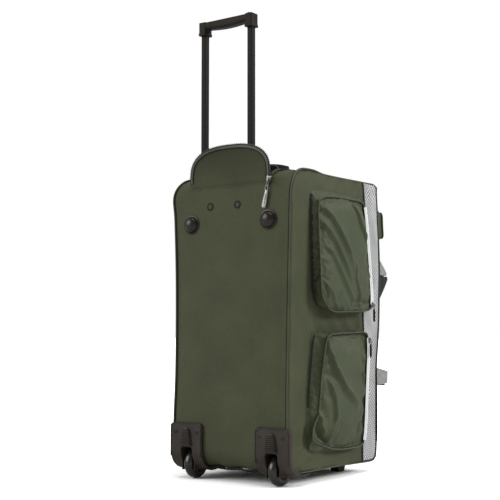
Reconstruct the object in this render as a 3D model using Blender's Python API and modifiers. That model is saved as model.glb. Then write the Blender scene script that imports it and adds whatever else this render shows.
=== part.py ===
"""Rolling duffel bag, standing upright on two wheels and two feet with its trolley handle pulled out.

Bag coordinates, in metres: X runs across the bag, Y from the back panel's outer face (Y = 0) into
the bag, and Z up from the floor. Left and right are as seen from behind the back panel. The empty
bag_frame puts the middle of the whole object over the world origin.
"""

import math

import bmesh
import bpy
from mathutils import Matrix, Vector

GAP = 0.0003
LEFT, RIGHT = -1, 1

# Bag body
HALF_WIDTH = 0.159
BAG_DEPTH = 0.380
BAG_TOP = 0.695
BAG_BOTTOM = 0.027
PANEL = 0.003
TOP_RADIUS = 0.060
LOW_RADIUS = 0.040
SEAM_Y = 0.318
INNER_HALF = HALF_WIDTH - PANEL - GAP
ARC_STEPS = 6

# Stow opening for the trolley grip, and the flap that covers it
FOLD_Z = 0.672
FLAP_HALF = 0.110
FLAP_TOP = 0.7575
FLAP_SPRING_Z = 0.690
FLAP_SQUARENESS = 2.6
FLAP_Y = (-0.0032, -0.0002)
TONGUE_HALF = 0.1125
OPENING_HALF = 0.1132
OPENING_DEPTH = 0.066

# Front opening: two panels that meet at a straight zip
DOOR_LOW = 0.070
DOOR_HIGH = 0.655
DOOR_HINGE_X = 0.155
DOOR_HINGE_Y = BAG_DEPTH + 0.0005
ZIP_HALF_GAP = 0.0005
FRONT_POCKET = ((0.022, BAG_DEPTH + GAP, 0.548), (0.1545, BAG_DEPTH + 0.056, 0.650))
FRONT_POCKET_TAPER = 0.020

# Carry handles: webbing tabs on the front panels, and a loop hinged at the tabs' ends
STRAP = 0.003
STRAP_HALF_WIDTH = 0.019
TAB_X = 0.150
TAB_HEIGHTS = (0.4700, 0.2200)
TAB_END_Y = 0.444
LOOP_HINGE_Y = 0.4462
LOOP_Y = (0.4445, 0.4475)
LOOP_INNER_X = 0.035
LOOP_RADIUS = 0.070

# Trolley handle, set a little left of the middle
HANDLE_X = -0.016
TUBE_X = 0.0664
TUBE_Y = 0.0140
INNER_TUBE = 0.0135
INNER_WALL = 0.0012
OUTER_TUBE = 0.017
OUTER_WALL = 0.0012
OUTER_TUBE_Z = (0.085, 0.655)
INNER_TUBE_Z = (0.600, 1.045)
GRIP_BOTTOM = 1.027
GRIP_TOP = 1.0585
GRIP_HALF = 0.0765
GRIP_Y = (0.0003, 0.0277)
SOCKET_WIDTH = 0.0195
BAR_UNDERSIDE = 1.0425
BAR_BULGE = 0.0055
BUTTON_X = 0.0600
PIN_Z = 0.612
PIN_RADIUS = 0.0025

# Wheels, housings, feet and the upper glide studs
WHEEL_RADIUS = 0.035
WHEEL_WIDTH = 0.024
WHEEL_X = 0.1165
WHEEL_Y = 0.028
HUB_RADIUS = 0.0215
AXLE_RADIUS = 0.004
HOUSING_X = (0.0755, HALF_WIDTH)
HOUSING_TOP = 0.128
HOUSING_PROUD = 0.0078
WELL_X = (0.098, 0.135)
WELL_Y = 0.0705
WELL_TOP = 0.0785
WELL_WALL = 0.003
FOOT_X = (0.074, 0.096)
STUD_PROUD = 0.012
STUD_RADIUS = 0.022
STUD_X = 0.108
STUD_Z = 0.582
RIVET_PLACES = {"left": -0.055, "right": 0.022}
RIVET_Z = 0.621

# Side pockets and their zips
POCKET_X = HALF_WIDTH + GAP
POCKET_LEVELS = ("upper", "lower")
POCKET_Y = {"upper": (0.070, 0.3195), "lower": (0.055, 0.3030)}
POCKET_Z = {"upper": (0.387, 0.653), "lower": (0.067, 0.335)}
POCKET_FACE_X = {"upper": (0.189, 0.168), "lower": (0.170, 0.187)}
ZIP_INSET = 0.003
SIDE_SLIDER_Z = {"upper": 0.392, "lower": 0.308}
SIDE_SLIDER = Vector((0.0084, 0.0040, 0.0140))
SIDE_PULL = Vector((0.0060, 0.0018, 0.0400))
MAIN_SLIDER = Vector((0.0100, 0.0050, 0.0180))
MAIN_SLIDER_Z = 0.042
MAIN_PULL = Vector((0.0080, 0.0018, 0.0240))
FLAP_SLIDER_X = 0.103
FLAP_SLIDER_Z = (0.652, 0.671)
FLAP_SLIDER_DEPTH = 0.0042
FLAP_PULL = Vector((0.0080, 0.0014, 0.0460))

COLOURS = {
    "fabric": (0.070, 0.078, 0.042, 0.85, 0.0),
    "mesh_fabric": (0.420, 0.430, 0.430, 0.80, 0.0),
    "webbing": (0.320, 0.330, 0.320, 0.85, 0.0),
    "black_webbing": (0.015, 0.015, 0.015, 0.80, 0.0),
    "moulded_plastic": (0.048, 0.037, 0.033, 0.45, 0.0),
    "tube_metal": (0.030, 0.025, 0.023, 0.35, 0.6),
    "tyre": (0.012, 0.011, 0.011, 0.40, 0.0),
    "steel": (0.600, 0.600, 0.590, 0.30, 1.0),
    "board": (0.100, 0.090, 0.075, 0.80, 0.0),
}


# ---------------------------------------------------------------- scene set-up


def clear_scene():
    for obj in list(bpy.data.objects):
        bpy.data.objects.remove(obj, do_unlink=True)


def new_collection(name, hidden=False):
    collection = bpy.data.collections.new(name)
    collection.hide_render = hidden
    bpy.context.scene.collection.children.link(collection)
    return collection


def make_material(name):
    red, green, blue, roughness, metallic = COLOURS[name]
    material = bpy.data.materials.new(name)
    material.use_nodes = True
    shader = material.node_tree.nodes["Principled BSDF"]
    shader.inputs["Base Color"].default_value = (red, green, blue, 1.0)
    shader.inputs["Roughness"].default_value = roughness
    shader.inputs["Metallic"].default_value = metallic
    material.diffuse_color = (red, green, blue, 1.0)
    return material


clear_scene()
bag_collection = new_collection("rolling_duffel_bag")
cutter_collection = new_collection("cutters", hidden=True)
materials = {name: make_material(name) for name in COLOURS}

bag_frame = bpy.data.objects.new("bag_frame", None)
bag_frame.location = (0.0, -(LOOP_Y[1] - STUD_PROUD) / 2, 0.0)
bag_collection.objects.link(bag_frame)


# ---------------------------------------------------------------- modelling helpers


def side_name(name, side):
    return f"{name}_{'right' if side == RIGHT else 'left'}"


def arc(centre, radius, start, end, steps=ARC_STEPS):
    """Points of an arc about centre, with angles in degrees and radius a number or (across, up)."""
    across, up = radius if isinstance(radius, tuple) else (radius, radius)
    angles = [math.radians(start + (end - start) * i / steps) for i in range(steps + 1)]
    return [(centre[0] + across * math.cos(a), centre[1] + up * math.sin(a)) for a in angles]


def box_mesh(low, high):
    low, high = Vector(low), Vector(high)
    shape = bmesh.new()
    size = Matrix.Diagonal((*(high - low), 1.0))
    bmesh.ops.create_cube(shape, size=1.0, matrix=Matrix.Translation((low + high) / 2) @ size)
    return shape


def outline_mesh(outlines, plane, low, high):
    """A flat shape in plane XZ, YZ or XY, from low to high along the third axis."""
    curve = bpy.data.curves.new("outline", "CURVE")
    curve.dimensions = "2D"
    curve.fill_mode = "BOTH"
    curve.extrude = (high - low) / 2
    for outline in outlines:
        spline = curve.splines.new("POLY")
        spline.points.add(len(outline) - 1)
        for point, place in zip(spline.points, outline):
            point.co = (*place, 0.0, 1.0)
        spline.use_cyclic_u = True
    guide = bpy.data.objects.new("outline", curve)
    cutter_collection.objects.link(guide)
    graph = bpy.context.evaluated_depsgraph_get()
    mesh = bpy.data.meshes.new_from_object(guide.evaluated_get(graph))
    bpy.data.objects.remove(guide, do_unlink=True)
    shape = bmesh.new()
    shape.from_mesh(mesh)
    bpy.data.meshes.remove(mesh)
    bmesh.ops.remove_doubles(shape, verts=shape.verts, dist=1e-6)
    middle = (low + high) / 2
    turned = {
        "XZ": Matrix(((1, 0, 0, 0), (0, 0, -1, middle), (0, 1, 0, 0), (0, 0, 0, 1))),
        "YZ": Matrix(((0, 0, 1, middle), (1, 0, 0, 0), (0, 1, 0, 0), (0, 0, 0, 1))),
        "XY": Matrix.Translation((0, 0, middle)),
    }[plane]
    bmesh.ops.transform(shape, matrix=turned, verts=shape.verts)
    bmesh.ops.recalc_face_normals(shape, faces=shape.faces)
    return shape


def rounded_square(centre, size, radius, steps=2):
    """A square outline with rounded corners, anticlockwise."""
    reach = size / 2 - radius
    corners = ((1, 1, 0), (-1, 1, 90), (-1, -1, 180), (1, -1, 270))
    points = []
    for across, up, start in corners:
        middle = (centre[0] + across * reach, centre[1] + up * reach)
        points += arc(middle, radius, start, start + 90, steps)
    return points


def add_object(name, shape, material, side=RIGHT, pivot=(0.0, 0.0, 0.0), rounding=0.0):
    """The shape as an object whose origin is at pivot. LEFT mirrors both shape and pivot."""
    if side == LEFT:
        bmesh.ops.scale(shape, vec=(-1, 1, 1), verts=shape.verts)
        bmesh.ops.reverse_faces(shape, faces=shape.faces)
    pivot = Vector((side * pivot[0], pivot[1], pivot[2]))
    bmesh.ops.translate(shape, vec=-pivot, verts=shape.verts)
    mesh = bpy.data.meshes.new(name)
    shape.to_mesh(mesh)
    shape.free()
    mesh.materials.append(materials[material])
    obj = bpy.data.objects.new(name, mesh)
    obj.location = pivot
    obj.parent = bag_frame
    bag_collection.objects.link(obj)
    if rounding:
        bevel = obj.modifiers.new("Rounding", "BEVEL")
        bevel.width = rounding
        bevel.segments = 2
        bevel.angle_limit = math.radians(50)
    return obj


def add_turned(name, profile, material, place, axis, side=RIGHT, steps=24):
    """A closed profile of (radius, height) turned about the world axis X or -Y through place."""
    mesh = bpy.data.meshes.new(name)
    loop = profile[0][0] > 0
    edges = [(i, i + 1) for i in range(len(profile) - 1)]
    if loop:
        edges.append((len(profile) - 1, 0))
    mesh.from_pydata([(radius, 0.0, height) for radius, height in profile], edges, [])
    mesh.materials.append(materials[material])
    obj = bpy.data.objects.new(name, mesh)
    obj.location = (side * place[0], place[1], place[2])
    turn = {"X": (0.0, side * math.pi / 2, 0.0), "-Y": (math.pi / 2, 0.0, 0.0)}
    obj.rotation_euler = turn[axis]
    obj.parent = bag_frame
    bag_collection.objects.link(obj)
    screw = obj.modifiers.new("Turned", "SCREW")
    screw.steps = steps
    screw.render_steps = steps
    screw.use_merge_vertices = True
    screw.merge_threshold = 0.00005
    screw.use_smooth_shade = True
    return obj


def helper_object(name, shape, side=RIGHT):
    """A shape that only cuts or joins another."""
    obj = add_object(name, shape, "board", side)
    bag_collection.objects.unlink(obj)
    cutter_collection.objects.link(obj)
    obj.hide_render = True
    obj.display_type = "WIRE"
    return obj


def combine(obj, other, operation):
    boolean = obj.modifiers.new(other.name, "BOOLEAN")
    boolean.operation = operation
    boolean.object = other


def cylinder_mesh(radius, low_x, high_x, y, z, segments=16):
    """A round bar along X."""
    shape = bmesh.new()
    middle = Matrix.Translation(((low_x + high_x) / 2, y, z)) @ Matrix.Rotation(math.pi / 2, 4, "Y")
    bmesh.ops.create_cone(
        shape,
        cap_ends=True,
        segments=segments,
        radius1=radius,
        radius2=radius,
        depth=high_x - low_x,
        matrix=middle,
    )
    return shape


# ---------------------------------------------------------------- fabric shell


def well_cutter(name, side, low_y, high_y, low_z, high_z):
    low = (WELL_X[0] - 0.0007, low_y, low_z)
    high = (WELL_X[1] + 0.0007, high_y, high_z)
    return helper_object(side_name(name, side), box_mesh(low, high), side)


def make_back_panel():
    shoulder = BAG_TOP - TOP_RADIUS - GAP
    bottom = BAG_BOTTOM + LOW_RADIUS + GAP
    tongue_top = FOLD_Z - GAP
    half = [
        (INNER_HALF, bottom),
        (INNER_HALF, shoulder),
        (TONGUE_HALF, shoulder),
        (TONGUE_HALF, tongue_top),
    ]
    outline = half + [(-x, z) for x, z in reversed(half)]
    panel = add_object("back_panel", outline_mesh([outline], "XZ", 0.0, PANEL), "fabric")
    for side in (LEFT, RIGHT):
        notch = well_cutter("back_notch", side, -PANEL, 2 * PANEL, 0.060, WELL_TOP + 0.0007)
        combine(panel, notch, "DIFFERENCE")


def make_top_panel():
    centre = (TOP_RADIUS, BAG_TOP - TOP_RADIUS)
    outer = arc(centre, TOP_RADIUS, 180, 90) + [(BAG_DEPTH, BAG_TOP)]
    inner = [(BAG_DEPTH, BAG_TOP - PANEL)] + arc(centre, TOP_RADIUS - PANEL, 90, 180)
    shape = outline_mesh([outer + inner], "YZ", -INNER_HALF, INNER_HALF)
    panel = add_object("top_panel", shape, "fabric")
    low = (-OPENING_HALF, -PANEL, BAG_TOP - TOP_RADIUS - PANEL)
    high = (OPENING_HALF, OPENING_DEPTH, BAG_TOP + PANEL)
    combine(panel, helper_object("stow_opening", box_mesh(low, high)), "DIFFERENCE")


def make_bottom_panel():
    centre = (LOW_RADIUS, BAG_BOTTOM + LOW_RADIUS)
    outer = arc(centre, LOW_RADIUS, 180, 270) + [(BAG_DEPTH, BAG_BOTTOM)]
    inner = [(BAG_DEPTH, BAG_BOTTOM + PANEL)] + arc(centre, LOW_RADIUS - PANEL, 270, 180)
    shape = outline_mesh([outer + inner], "YZ", -INNER_HALF, INNER_HALF)
    panel = add_object("bottom_panel", shape, "fabric")
    for side in (LEFT, RIGHT):
        notch = well_cutter("bottom_notch", side, -PANEL, WELL_Y + 0.0007, 0.020, 0.075)
        combine(panel, notch, "DIFFERENCE")


def make_side_panels():
    top_centre = (TOP_RADIUS, BAG_TOP - TOP_RADIUS)
    low_centre = (LOW_RADIUS, BAG_BOTTOM + LOW_RADIUS)
    outline = (
        arc(low_centre, LOW_RADIUS, 180, 270)
        + [(SEAM_Y, BAG_BOTTOM), (SEAM_Y, BAG_TOP)]
        + arc(top_centre, TOP_RADIUS, 90, 180)
    )
    for side in (LEFT, RIGHT):
        panel = outline_mesh([outline], "YZ", HALF_WIDTH - PANEL, HALF_WIDTH)
        add_object(side_name("side_panel", side), panel, "fabric", side)
        low = (HALF_WIDTH - PANEL, SEAM_Y + GAP, BAG_BOTTOM)
        band = box_mesh(low, (HALF_WIDTH, BAG_DEPTH, BAG_TOP))
        add_object(side_name("mesh_band", side), band, "mesh_fabric", side)


def make_front_borders():
    borders = {
        "front_top_border": (DOOR_HIGH + GAP, BAG_TOP - PANEL - GAP),
        "front_bottom_border": (BAG_BOTTOM + PANEL + GAP, DOOR_LOW),
    }
    for name, (low_z, high_z) in borders.items():
        low = (-INNER_HALF, BAG_DEPTH - PANEL, low_z)
        add_object(name, box_mesh(low, (INNER_HALF, BAG_DEPTH, high_z)), "fabric")


def make_front_panels():
    """Each front panel carries the two stub tabs of its carry handle."""
    pivot = (DOOR_HINGE_X, DOOR_HINGE_Y, DOOR_LOW)
    for side in (LEFT, RIGHT):
        low = (ZIP_HALF_GAP, BAG_DEPTH - PANEL, DOOR_LOW + GAP)
        high = (DOOR_HINGE_X, BAG_DEPTH, DOOR_HIGH)
        name = side_name("front_panel", side)
        panel = add_object(name, box_mesh(low, high), "fabric", side, pivot)
        for number, height in enumerate(TAB_HEIGHTS):
            low = (TAB_X - STRAP / 2, BAG_DEPTH - PANEL / 2, height - STRAP_HALF_WIDTH)
            high = (TAB_X + STRAP / 2, TAB_END_Y, height + STRAP_HALF_WIDTH)
            tab = helper_object(side_name(f"tab_{number}", side), box_mesh(low, high), side)
            combine(panel, tab, "UNION")


def pocket_face_x(level, z):
    """How far out the pocket's sloping face stands at height z."""
    (low_z, high_z), (low_x, high_x) = POCKET_Z[level], POCKET_FACE_X[level]
    return low_x + (high_x - low_x) * (z - low_z) / (high_z - low_z)


def make_pockets():
    for side in (LEFT, RIGHT):
        for level in POCKET_LEVELS:
            (low_y, high_y), (low_z, high_z) = POCKET_Y[level], POCKET_Z[level]
            shape = box_mesh((POCKET_X, low_y, low_z), (POCKET_X + 0.01, high_y, high_z))
            for corner in shape.verts:
                if corner.co.x > POCKET_X + 0.005:
                    corner.co.x = pocket_face_x(level, corner.co.z)
            name = side_name(f"side_pocket_{level}", side)
            add_object(name, shape, "fabric", side, rounding=0.004)
        pivot = (DOOR_HINGE_X, DOOR_HINGE_Y, DOOR_LOW)
        shape = box_mesh(*FRONT_POCKET)
        middle_z = (FRONT_POCKET[0][2] + FRONT_POCKET[1][2]) / 2
        for corner in shape.verts:
            if corner.co.y > BAG_DEPTH + 0.01:
                corner.co.z -= math.copysign(FRONT_POCKET_TAPER, corner.co.z - middle_z)
        add_object(side_name("front_pocket", side), shape, "fabric", side, pivot, 0.008)


def arch_point(angle):
    """A point on the flap's squared-off arch, with the angle in degrees."""
    across, up = math.cos(math.radians(angle)), math.sin(math.radians(angle))
    power = 2 / FLAP_SQUARENESS
    x = math.copysign(FLAP_HALF * abs(across) ** power, across)
    return x, FLAP_SPRING_Z + (FLAP_TOP - FLAP_SPRING_Z) * abs(up) ** power


def make_flap():
    arch = [arch_point(angle) for angle in range(0, 181, 12)]
    outline = [(FLAP_HALF, FOLD_Z + GAP)] + arch + [(-FLAP_HALF, FOLD_Z + GAP)]
    shape = outline_mesh([outline], "XZ", *FLAP_Y)
    add_object("stow_flap", shape, "fabric", pivot=(0.0, FLAP_Y[0] - 0.0005, FOLD_Z))


# ---------------------------------------------------------------- straps


def make_carry_handles():
    top, bottom = TAB_HEIGHTS
    outer_x = LOOP_INNER_X + LOOP_RADIUS
    end_x = TAB_X - 0.0002
    inner_radius = LOOP_RADIUS - 2 * STRAP_HALF_WIDTH
    upper = (outer_x, top + STRAP_HALF_WIDTH - LOOP_RADIUS)
    lower = (outer_x, bottom - STRAP_HALF_WIDTH + LOOP_RADIUS)
    outer = (
        [(end_x, top + STRAP_HALF_WIDTH)]
        + arc(upper, LOOP_RADIUS, 90, 180)
        + arc(lower, LOOP_RADIUS, 180, 270)
        + [(end_x, bottom - STRAP_HALF_WIDTH)]
    )
    inner = (
        [(end_x, bottom + STRAP_HALF_WIDTH)]
        + arc(lower, inner_radius, 270, 180)
        + arc(upper, inner_radius, 180, 90)
        + [(end_x, top - STRAP_HALF_WIDTH)]
    )
    for side in (LEFT, RIGHT):
        shape = outline_mesh([outer + inner], "XZ", *LOOP_Y)
        pivot = (TAB_X, LOOP_HINGE_Y, (top + bottom) / 2)
        add_object(side_name("carry_handle", side), shape, "webbing", side, pivot)


def make_grab_handle():
    reach, rise, thickness, base = 0.095, 0.040, 0.006, BAG_TOP + GAP
    outer = arc((0.0, base), (reach, rise), 0, 180, 12)
    inner = arc((0.0, base), (reach - thickness, rise - thickness), 180, 0, 12)
    shape = outline_mesh([outer + inner], "XZ", 0.105, 0.135)
    add_object("top_grab_handle", shape, "black_webbing")


# ---------------------------------------------------------------- trolley


def tube_x(side):
    return HANDLE_X + side * TUBE_X


def make_tubes():
    for side in (LEFT, RIGHT):
        centre = (tube_x(side), TUBE_Y)
        outer = rounded_square(centre, OUTER_TUBE, 0.0030)
        bore = rounded_square(centre, OUTER_TUBE - 2 * OUTER_WALL, 0.0010, 1)
        shape = outline_mesh([outer, bore], "XY", *OUTER_TUBE_Z)
        add_object(side_name("outer_tube", side), shape, "tube_metal")
        outer = rounded_square(centre, INNER_TUBE, 0.0015)
        bore = rounded_square(centre, INNER_TUBE - 2 * INNER_WALL, 0.0005, 1)
        shape = outline_mesh([outer, bore], "XY", *INNER_TUBE_Z)
        tube = add_object(side_name("inner_tube", side), shape, "tube_metal")
        reach = PIN_RADIUS + GAP
        ends = sorted(tube_x(side) + side * offset for offset in (INNER_TUBE / 4, INNER_TUBE))
        low = (ends[0], TUBE_Y - reach, PIN_Z - reach)
        high = (ends[1], TUBE_Y + reach, PIN_Z + reach)
        combine(tube, helper_object(side_name("pin_hole", side), box_mesh(low, high)), "DIFFERENCE")
        ends = sorted(tube_x(side) + side * offset for offset in (-0.0015, 0.0070))
        pin = cylinder_mesh(PIN_RADIUS, *ends, TUBE_Y, PIN_Z, 12)
        pivot = (tube_x(side), TUBE_Y, PIN_Z)
        add_object(side_name("latch_pin", side), pin, "steel", pivot=pivot)


def make_brackets():
    low_y, high_y = TUBE_Y - 0.0095, TUBE_Y + 0.0095
    low = (HANDLE_X - 0.0775, low_y, 0.0685)
    bottom = box_mesh(low, (HANDLE_X + 0.0775, high_y, OUTER_TUBE_Z[0] - GAP))
    add_object("bottom_bracket", bottom, "moulded_plastic", rounding=0.002)
    low = (HANDLE_X - 0.086, low_y, OUTER_TUBE_Z[1] + GAP)
    bar = box_mesh(low, (HANDLE_X + 0.086, high_y, 0.668))
    top = add_object("top_bracket", bar, "moulded_plastic")
    reach = INNER_TUBE / 2 + 0.0004
    for side in (LEFT, RIGHT):
        low = (tube_x(side) - reach, TUBE_Y - reach, 0.640)
        hole = box_mesh(low, (tube_x(side) + reach, TUBE_Y + reach, 0.680))
        combine(top, helper_object(side_name("bracket_hole", side), hole), "DIFFERENCE")
    board = box_mesh((-0.150, high_y + 0.0005, 0.0860), (0.150, high_y + 0.0005 + PANEL, 0.6400))
    add_object("trolley_board", board, "board")


def make_grip():
    """A bar with a socket over each tube. Its underside swells down towards the middle."""
    inside = GRIP_HALF - SOCKET_WIDTH
    top = arc((GRIP_HALF - 0.010, GRIP_TOP - 0.010), 0.010, 0, 90, 4)
    swell = [
        (x, BAR_UNDERSIDE - BAR_BULGE * math.cos(math.pi * x / (2 * inside)))
        for x in (-inside * 0.66, -inside * 0.33, 0.0, inside * 0.33, inside * 0.66)
    ]
    outline = (
        [(GRIP_HALF, GRIP_BOTTOM)]
        + top
        + [(-x, z) for x, z in reversed(top)]
        + [(-GRIP_HALF, GRIP_BOTTOM), (-inside, GRIP_BOTTOM), (-inside, BAR_UNDERSIDE)]
        + swell
        + [(inside, BAR_UNDERSIDE), (inside, GRIP_BOTTOM)]
    )
    outline = [(HANDLE_X + x, z) for x, z in outline]
    grip = add_object("grip", outline_mesh([outline], "XZ", *GRIP_Y), "moulded_plastic")
    reach = INNER_TUBE / 2 + 0.0003
    for side in (LEFT, RIGHT):
        low = (tube_x(side) - reach, TUBE_Y - reach, GRIP_BOTTOM - 0.010)
        hole = box_mesh(low, (tube_x(side) + reach, TUBE_Y + reach, INNER_TUBE_Z[1] + 0.0005))
        combine(grip, helper_object(side_name("socket", side), hole), "DIFFERENCE")
    button_x = HANDLE_X + BUTTON_X
    low = (button_x - 0.0075, TUBE_Y - 0.0065, GRIP_TOP - 0.0085)
    seat = box_mesh(low, (button_x + 0.0075, TUBE_Y + 0.0065, GRIP_TOP + 0.010))
    combine(grip, helper_object("button_seat", seat), "DIFFERENCE")
    outline = (
        [(button_x + 0.0071, GRIP_TOP - 0.0040)]
        + arc((button_x, GRIP_TOP + 0.0010), (0.0071, 0.0028), 0, 180, 6)
        + [(button_x - 0.0071, GRIP_TOP - 0.0040)]
    )
    button = outline_mesh([outline], "XZ", TUBE_Y - 0.0061, TUBE_Y + 0.0061)
    add_object("release_button", button, "moulded_plastic", pivot=(button_x, TUBE_Y, GRIP_TOP))


# ---------------------------------------------------------------- wheels, feet and studs


def make_wheel_housings():
    centre = (LOW_RADIUS, BAG_BOTTOM + LOW_RADIUS)
    lip_y = WELL_Y + 0.007
    outer_radius = LOW_RADIUS + HOUSING_PROUD
    outline = (
        [(-GAP, HOUSING_TOP), (-HOUSING_PROUD * 0.6, HOUSING_TOP), (-HOUSING_PROUD, HOUSING_TOP - 0.008)]
        + arc(centre, outer_radius, 180, 270)
        + [(lip_y, BAG_BOTTOM - HOUSING_PROUD), (lip_y, BAG_BOTTOM - GAP)]
        + arc(centre, LOW_RADIUS + GAP, 270, 180)
    )
    for side in (LEFT, RIGHT):
        shape = outline_mesh([outline], "YZ", *HOUSING_X)
        housing = add_object(side_name("wheel_housing", side), shape, "moulded_plastic", side)
        low = (WELL_X[0], -0.0010, BAG_BOTTOM - 0.0020)
        well = box_mesh(low, (WELL_X[1], WELL_Y, WELL_TOP))
        combine(housing, helper_object(side_name("well", side), well, side), "UNION")
        low = (WELL_X[0] + WELL_WALL, -0.030, 0.0)
        slot = box_mesh(low, (WELL_X[1] - WELL_WALL, WELL_Y - WELL_WALL, WELL_TOP - WELL_WALL))
        combine(housing, helper_object(side_name("slot", side), slot, side), "DIFFERENCE")
        bore = cylinder_mesh(AXLE_RADIUS + GAP, 0.090, 0.145, WHEEL_Y, WHEEL_RADIUS)
        combine(housing, helper_object(side_name("axle_bore", side), bore, side), "DIFFERENCE")
        axle = cylinder_mesh(AXLE_RADIUS, WELL_X[0] + GAP, WELL_X[1] - GAP, WHEEL_Y, WHEEL_RADIUS)
        add_object(side_name("axle", side), axle, "steel", side)


def make_wheels():
    half = WHEEL_WIDTH / 2
    place = (WHEEL_X, WHEEL_Y, WHEEL_RADIUS)
    tread = [(HUB_RADIUS + GAP, half - 0.001), (WHEEL_RADIUS - 0.005, half - 0.001)]
    tread += [(WHEEL_RADIUS - 0.0015, half - 0.005), (WHEEL_RADIUS, half - 0.009)]
    tyre = tread + [(radius, -height) for radius, height in reversed(tread)]
    bore = AXLE_RADIUS + 0.0004
    hub = [(bore, half + 0.001), (0.008, half + 0.001), (0.009, half - 0.004)]
    hub += [(HUB_RADIUS - 0.003, half - 0.004), (HUB_RADIUS, half - 0.001)]
    hub += [(radius, -height) for radius, height in reversed(hub)]
    for side in (LEFT, RIGHT):
        add_turned(side_name("tyre", side), tyre, "tyre", place, "X", side, steps=32)
        add_turned(side_name("wheel_hub", side), hub, "moulded_plastic", place, "X", side)


def make_feet():
    """A foot under each front corner, with the skid rail that runs back to the wheel housing."""
    start = WELL_Y + 0.0075
    rail = BAG_BOTTOM - 0.0065
    outline = [
        (start, BAG_BOTTOM - GAP),
        (start, rail),
        (0.300, rail),
        (0.312, 0.0),
        (0.336, 0.0),
        (0.347, BAG_BOTTOM - GAP),
    ]
    for side in (LEFT, RIGHT):
        shape = outline_mesh([outline], "YZ", *FOOT_X)
        add_object(side_name("skid_foot", side), shape, "moulded_plastic", side)


def make_studs():
    profile = [
        (0.0, STUD_PROUD),
        (0.0070, STUD_PROUD - 0.0007),
        (0.0130, STUD_PROUD - 0.0032),
        (0.0168, STUD_PROUD - 0.0075),
        (0.0180, 0.0030),
        (STUD_RADIUS, 0.0022),
        (STUD_RADIUS, GAP),
        (0.0, GAP),
    ]
    for side in (LEFT, RIGHT):
        place = (STUD_X, 0.0, STUD_Z)
        add_turned(side_name("glide_stud", side), profile, "moulded_plastic", place, "-Y", side, 20)
    profile = [(0.0, 0.0012), (0.0065, 0.0016), (0.0090, 0.0010), (0.0090, GAP), (0.0, GAP)]
    for where, x in RIVET_PLACES.items():
        add_turned(f"snap_rivet_{where}", profile, "moulded_plastic", (x, 0.0, RIVET_Z), "-Y", steps=16)


# ---------------------------------------------------------------- zip sliders and pulls


def hanging_pull(name, size, pivot, material, side=RIGHT):
    """A flat pull that hangs from a pivot along X at its top edge."""
    low = (pivot[0] - size.x / 2, pivot[1] - size.y / 2, pivot[2] - size.z)
    high = (pivot[0] + size.x / 2, pivot[1] + size.y / 2, pivot[2] + size.y / 2)
    add_object(name, box_mesh(low, high), material, side, pivot)


def make_side_zips():
    for side in (LEFT, RIGHT):
        for level in POCKET_LEVELS:
            front_y, slider_z = POCKET_Y[level][1], SIDE_SLIDER_Z[level]
            x = pocket_face_x(level, slider_z + SIDE_SLIDER.z / 2) - ZIP_INSET
            low = Vector((x - SIDE_SLIDER.x / 2, front_y + GAP, slider_z))
            name = side_name(f"zip_slider_{level}", side)
            pivot = (x, front_y + GAP, slider_z)
            add_object(name, box_mesh(low, low + SIDE_SLIDER), "steel", side, pivot, 0.0010)
            pivot = (x, low.y + SIDE_SLIDER.y + 0.0017, slider_z + 0.0070)
            name = side_name(f"zip_pull_{level}", side)
            hanging_pull(name, SIDE_PULL, pivot, "black_webbing", side)


def make_main_zip():
    low = Vector((-MAIN_SLIDER.x / 2, BAG_DEPTH + GAP, MAIN_SLIDER_Z))
    pivot = (0.0, low.y, MAIN_SLIDER_Z)
    add_object("main_zip_slider", box_mesh(low, low + MAIN_SLIDER), "steel", pivot=pivot, rounding=0.0012)
    pivot = (0.0, low.y + MAIN_SLIDER.y + 0.0017, MAIN_SLIDER_Z + 0.0120)
    hanging_pull("main_zip_pull", MAIN_PULL, pivot, "steel")


def make_flap_zip():
    low = (FLAP_SLIDER_X - 0.0045, -GAP - FLAP_SLIDER_DEPTH, FLAP_SLIDER_Z[0])
    high = (FLAP_SLIDER_X + 0.0045, -GAP, FLAP_SLIDER_Z[1])
    add_object("flap_zip_slider", box_mesh(low, high), "steel", rounding=0.0010)
    pivot = (FLAP_SLIDER_X, low[1] - 0.0016, FLAP_SLIDER_Z[0] + 0.0040)
    hanging_pull("flap_zip_pull", FLAP_PULL, pivot, "steel")


make_back_panel()
make_top_panel()
make_bottom_panel()
make_side_panels()
make_front_borders()
make_front_panels()
make_pockets()
make_flap()
make_carry_handles()
make_grab_handle()
make_tubes()
make_brackets()
make_grip()
make_wheel_housings()
make_wheels()
make_feet()
make_studs()
make_side_zips()
make_main_zip()
make_flap_zip()
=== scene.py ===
"""Looks of the rolling duffel bag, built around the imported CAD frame.

Shapes are written in bag coordinates: X across, Y from the back panel forwards, Z up from the floor.
`place` moves them to the frame's own Y.
"""

import math

import bmesh
import bpy
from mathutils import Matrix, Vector, noise


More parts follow.
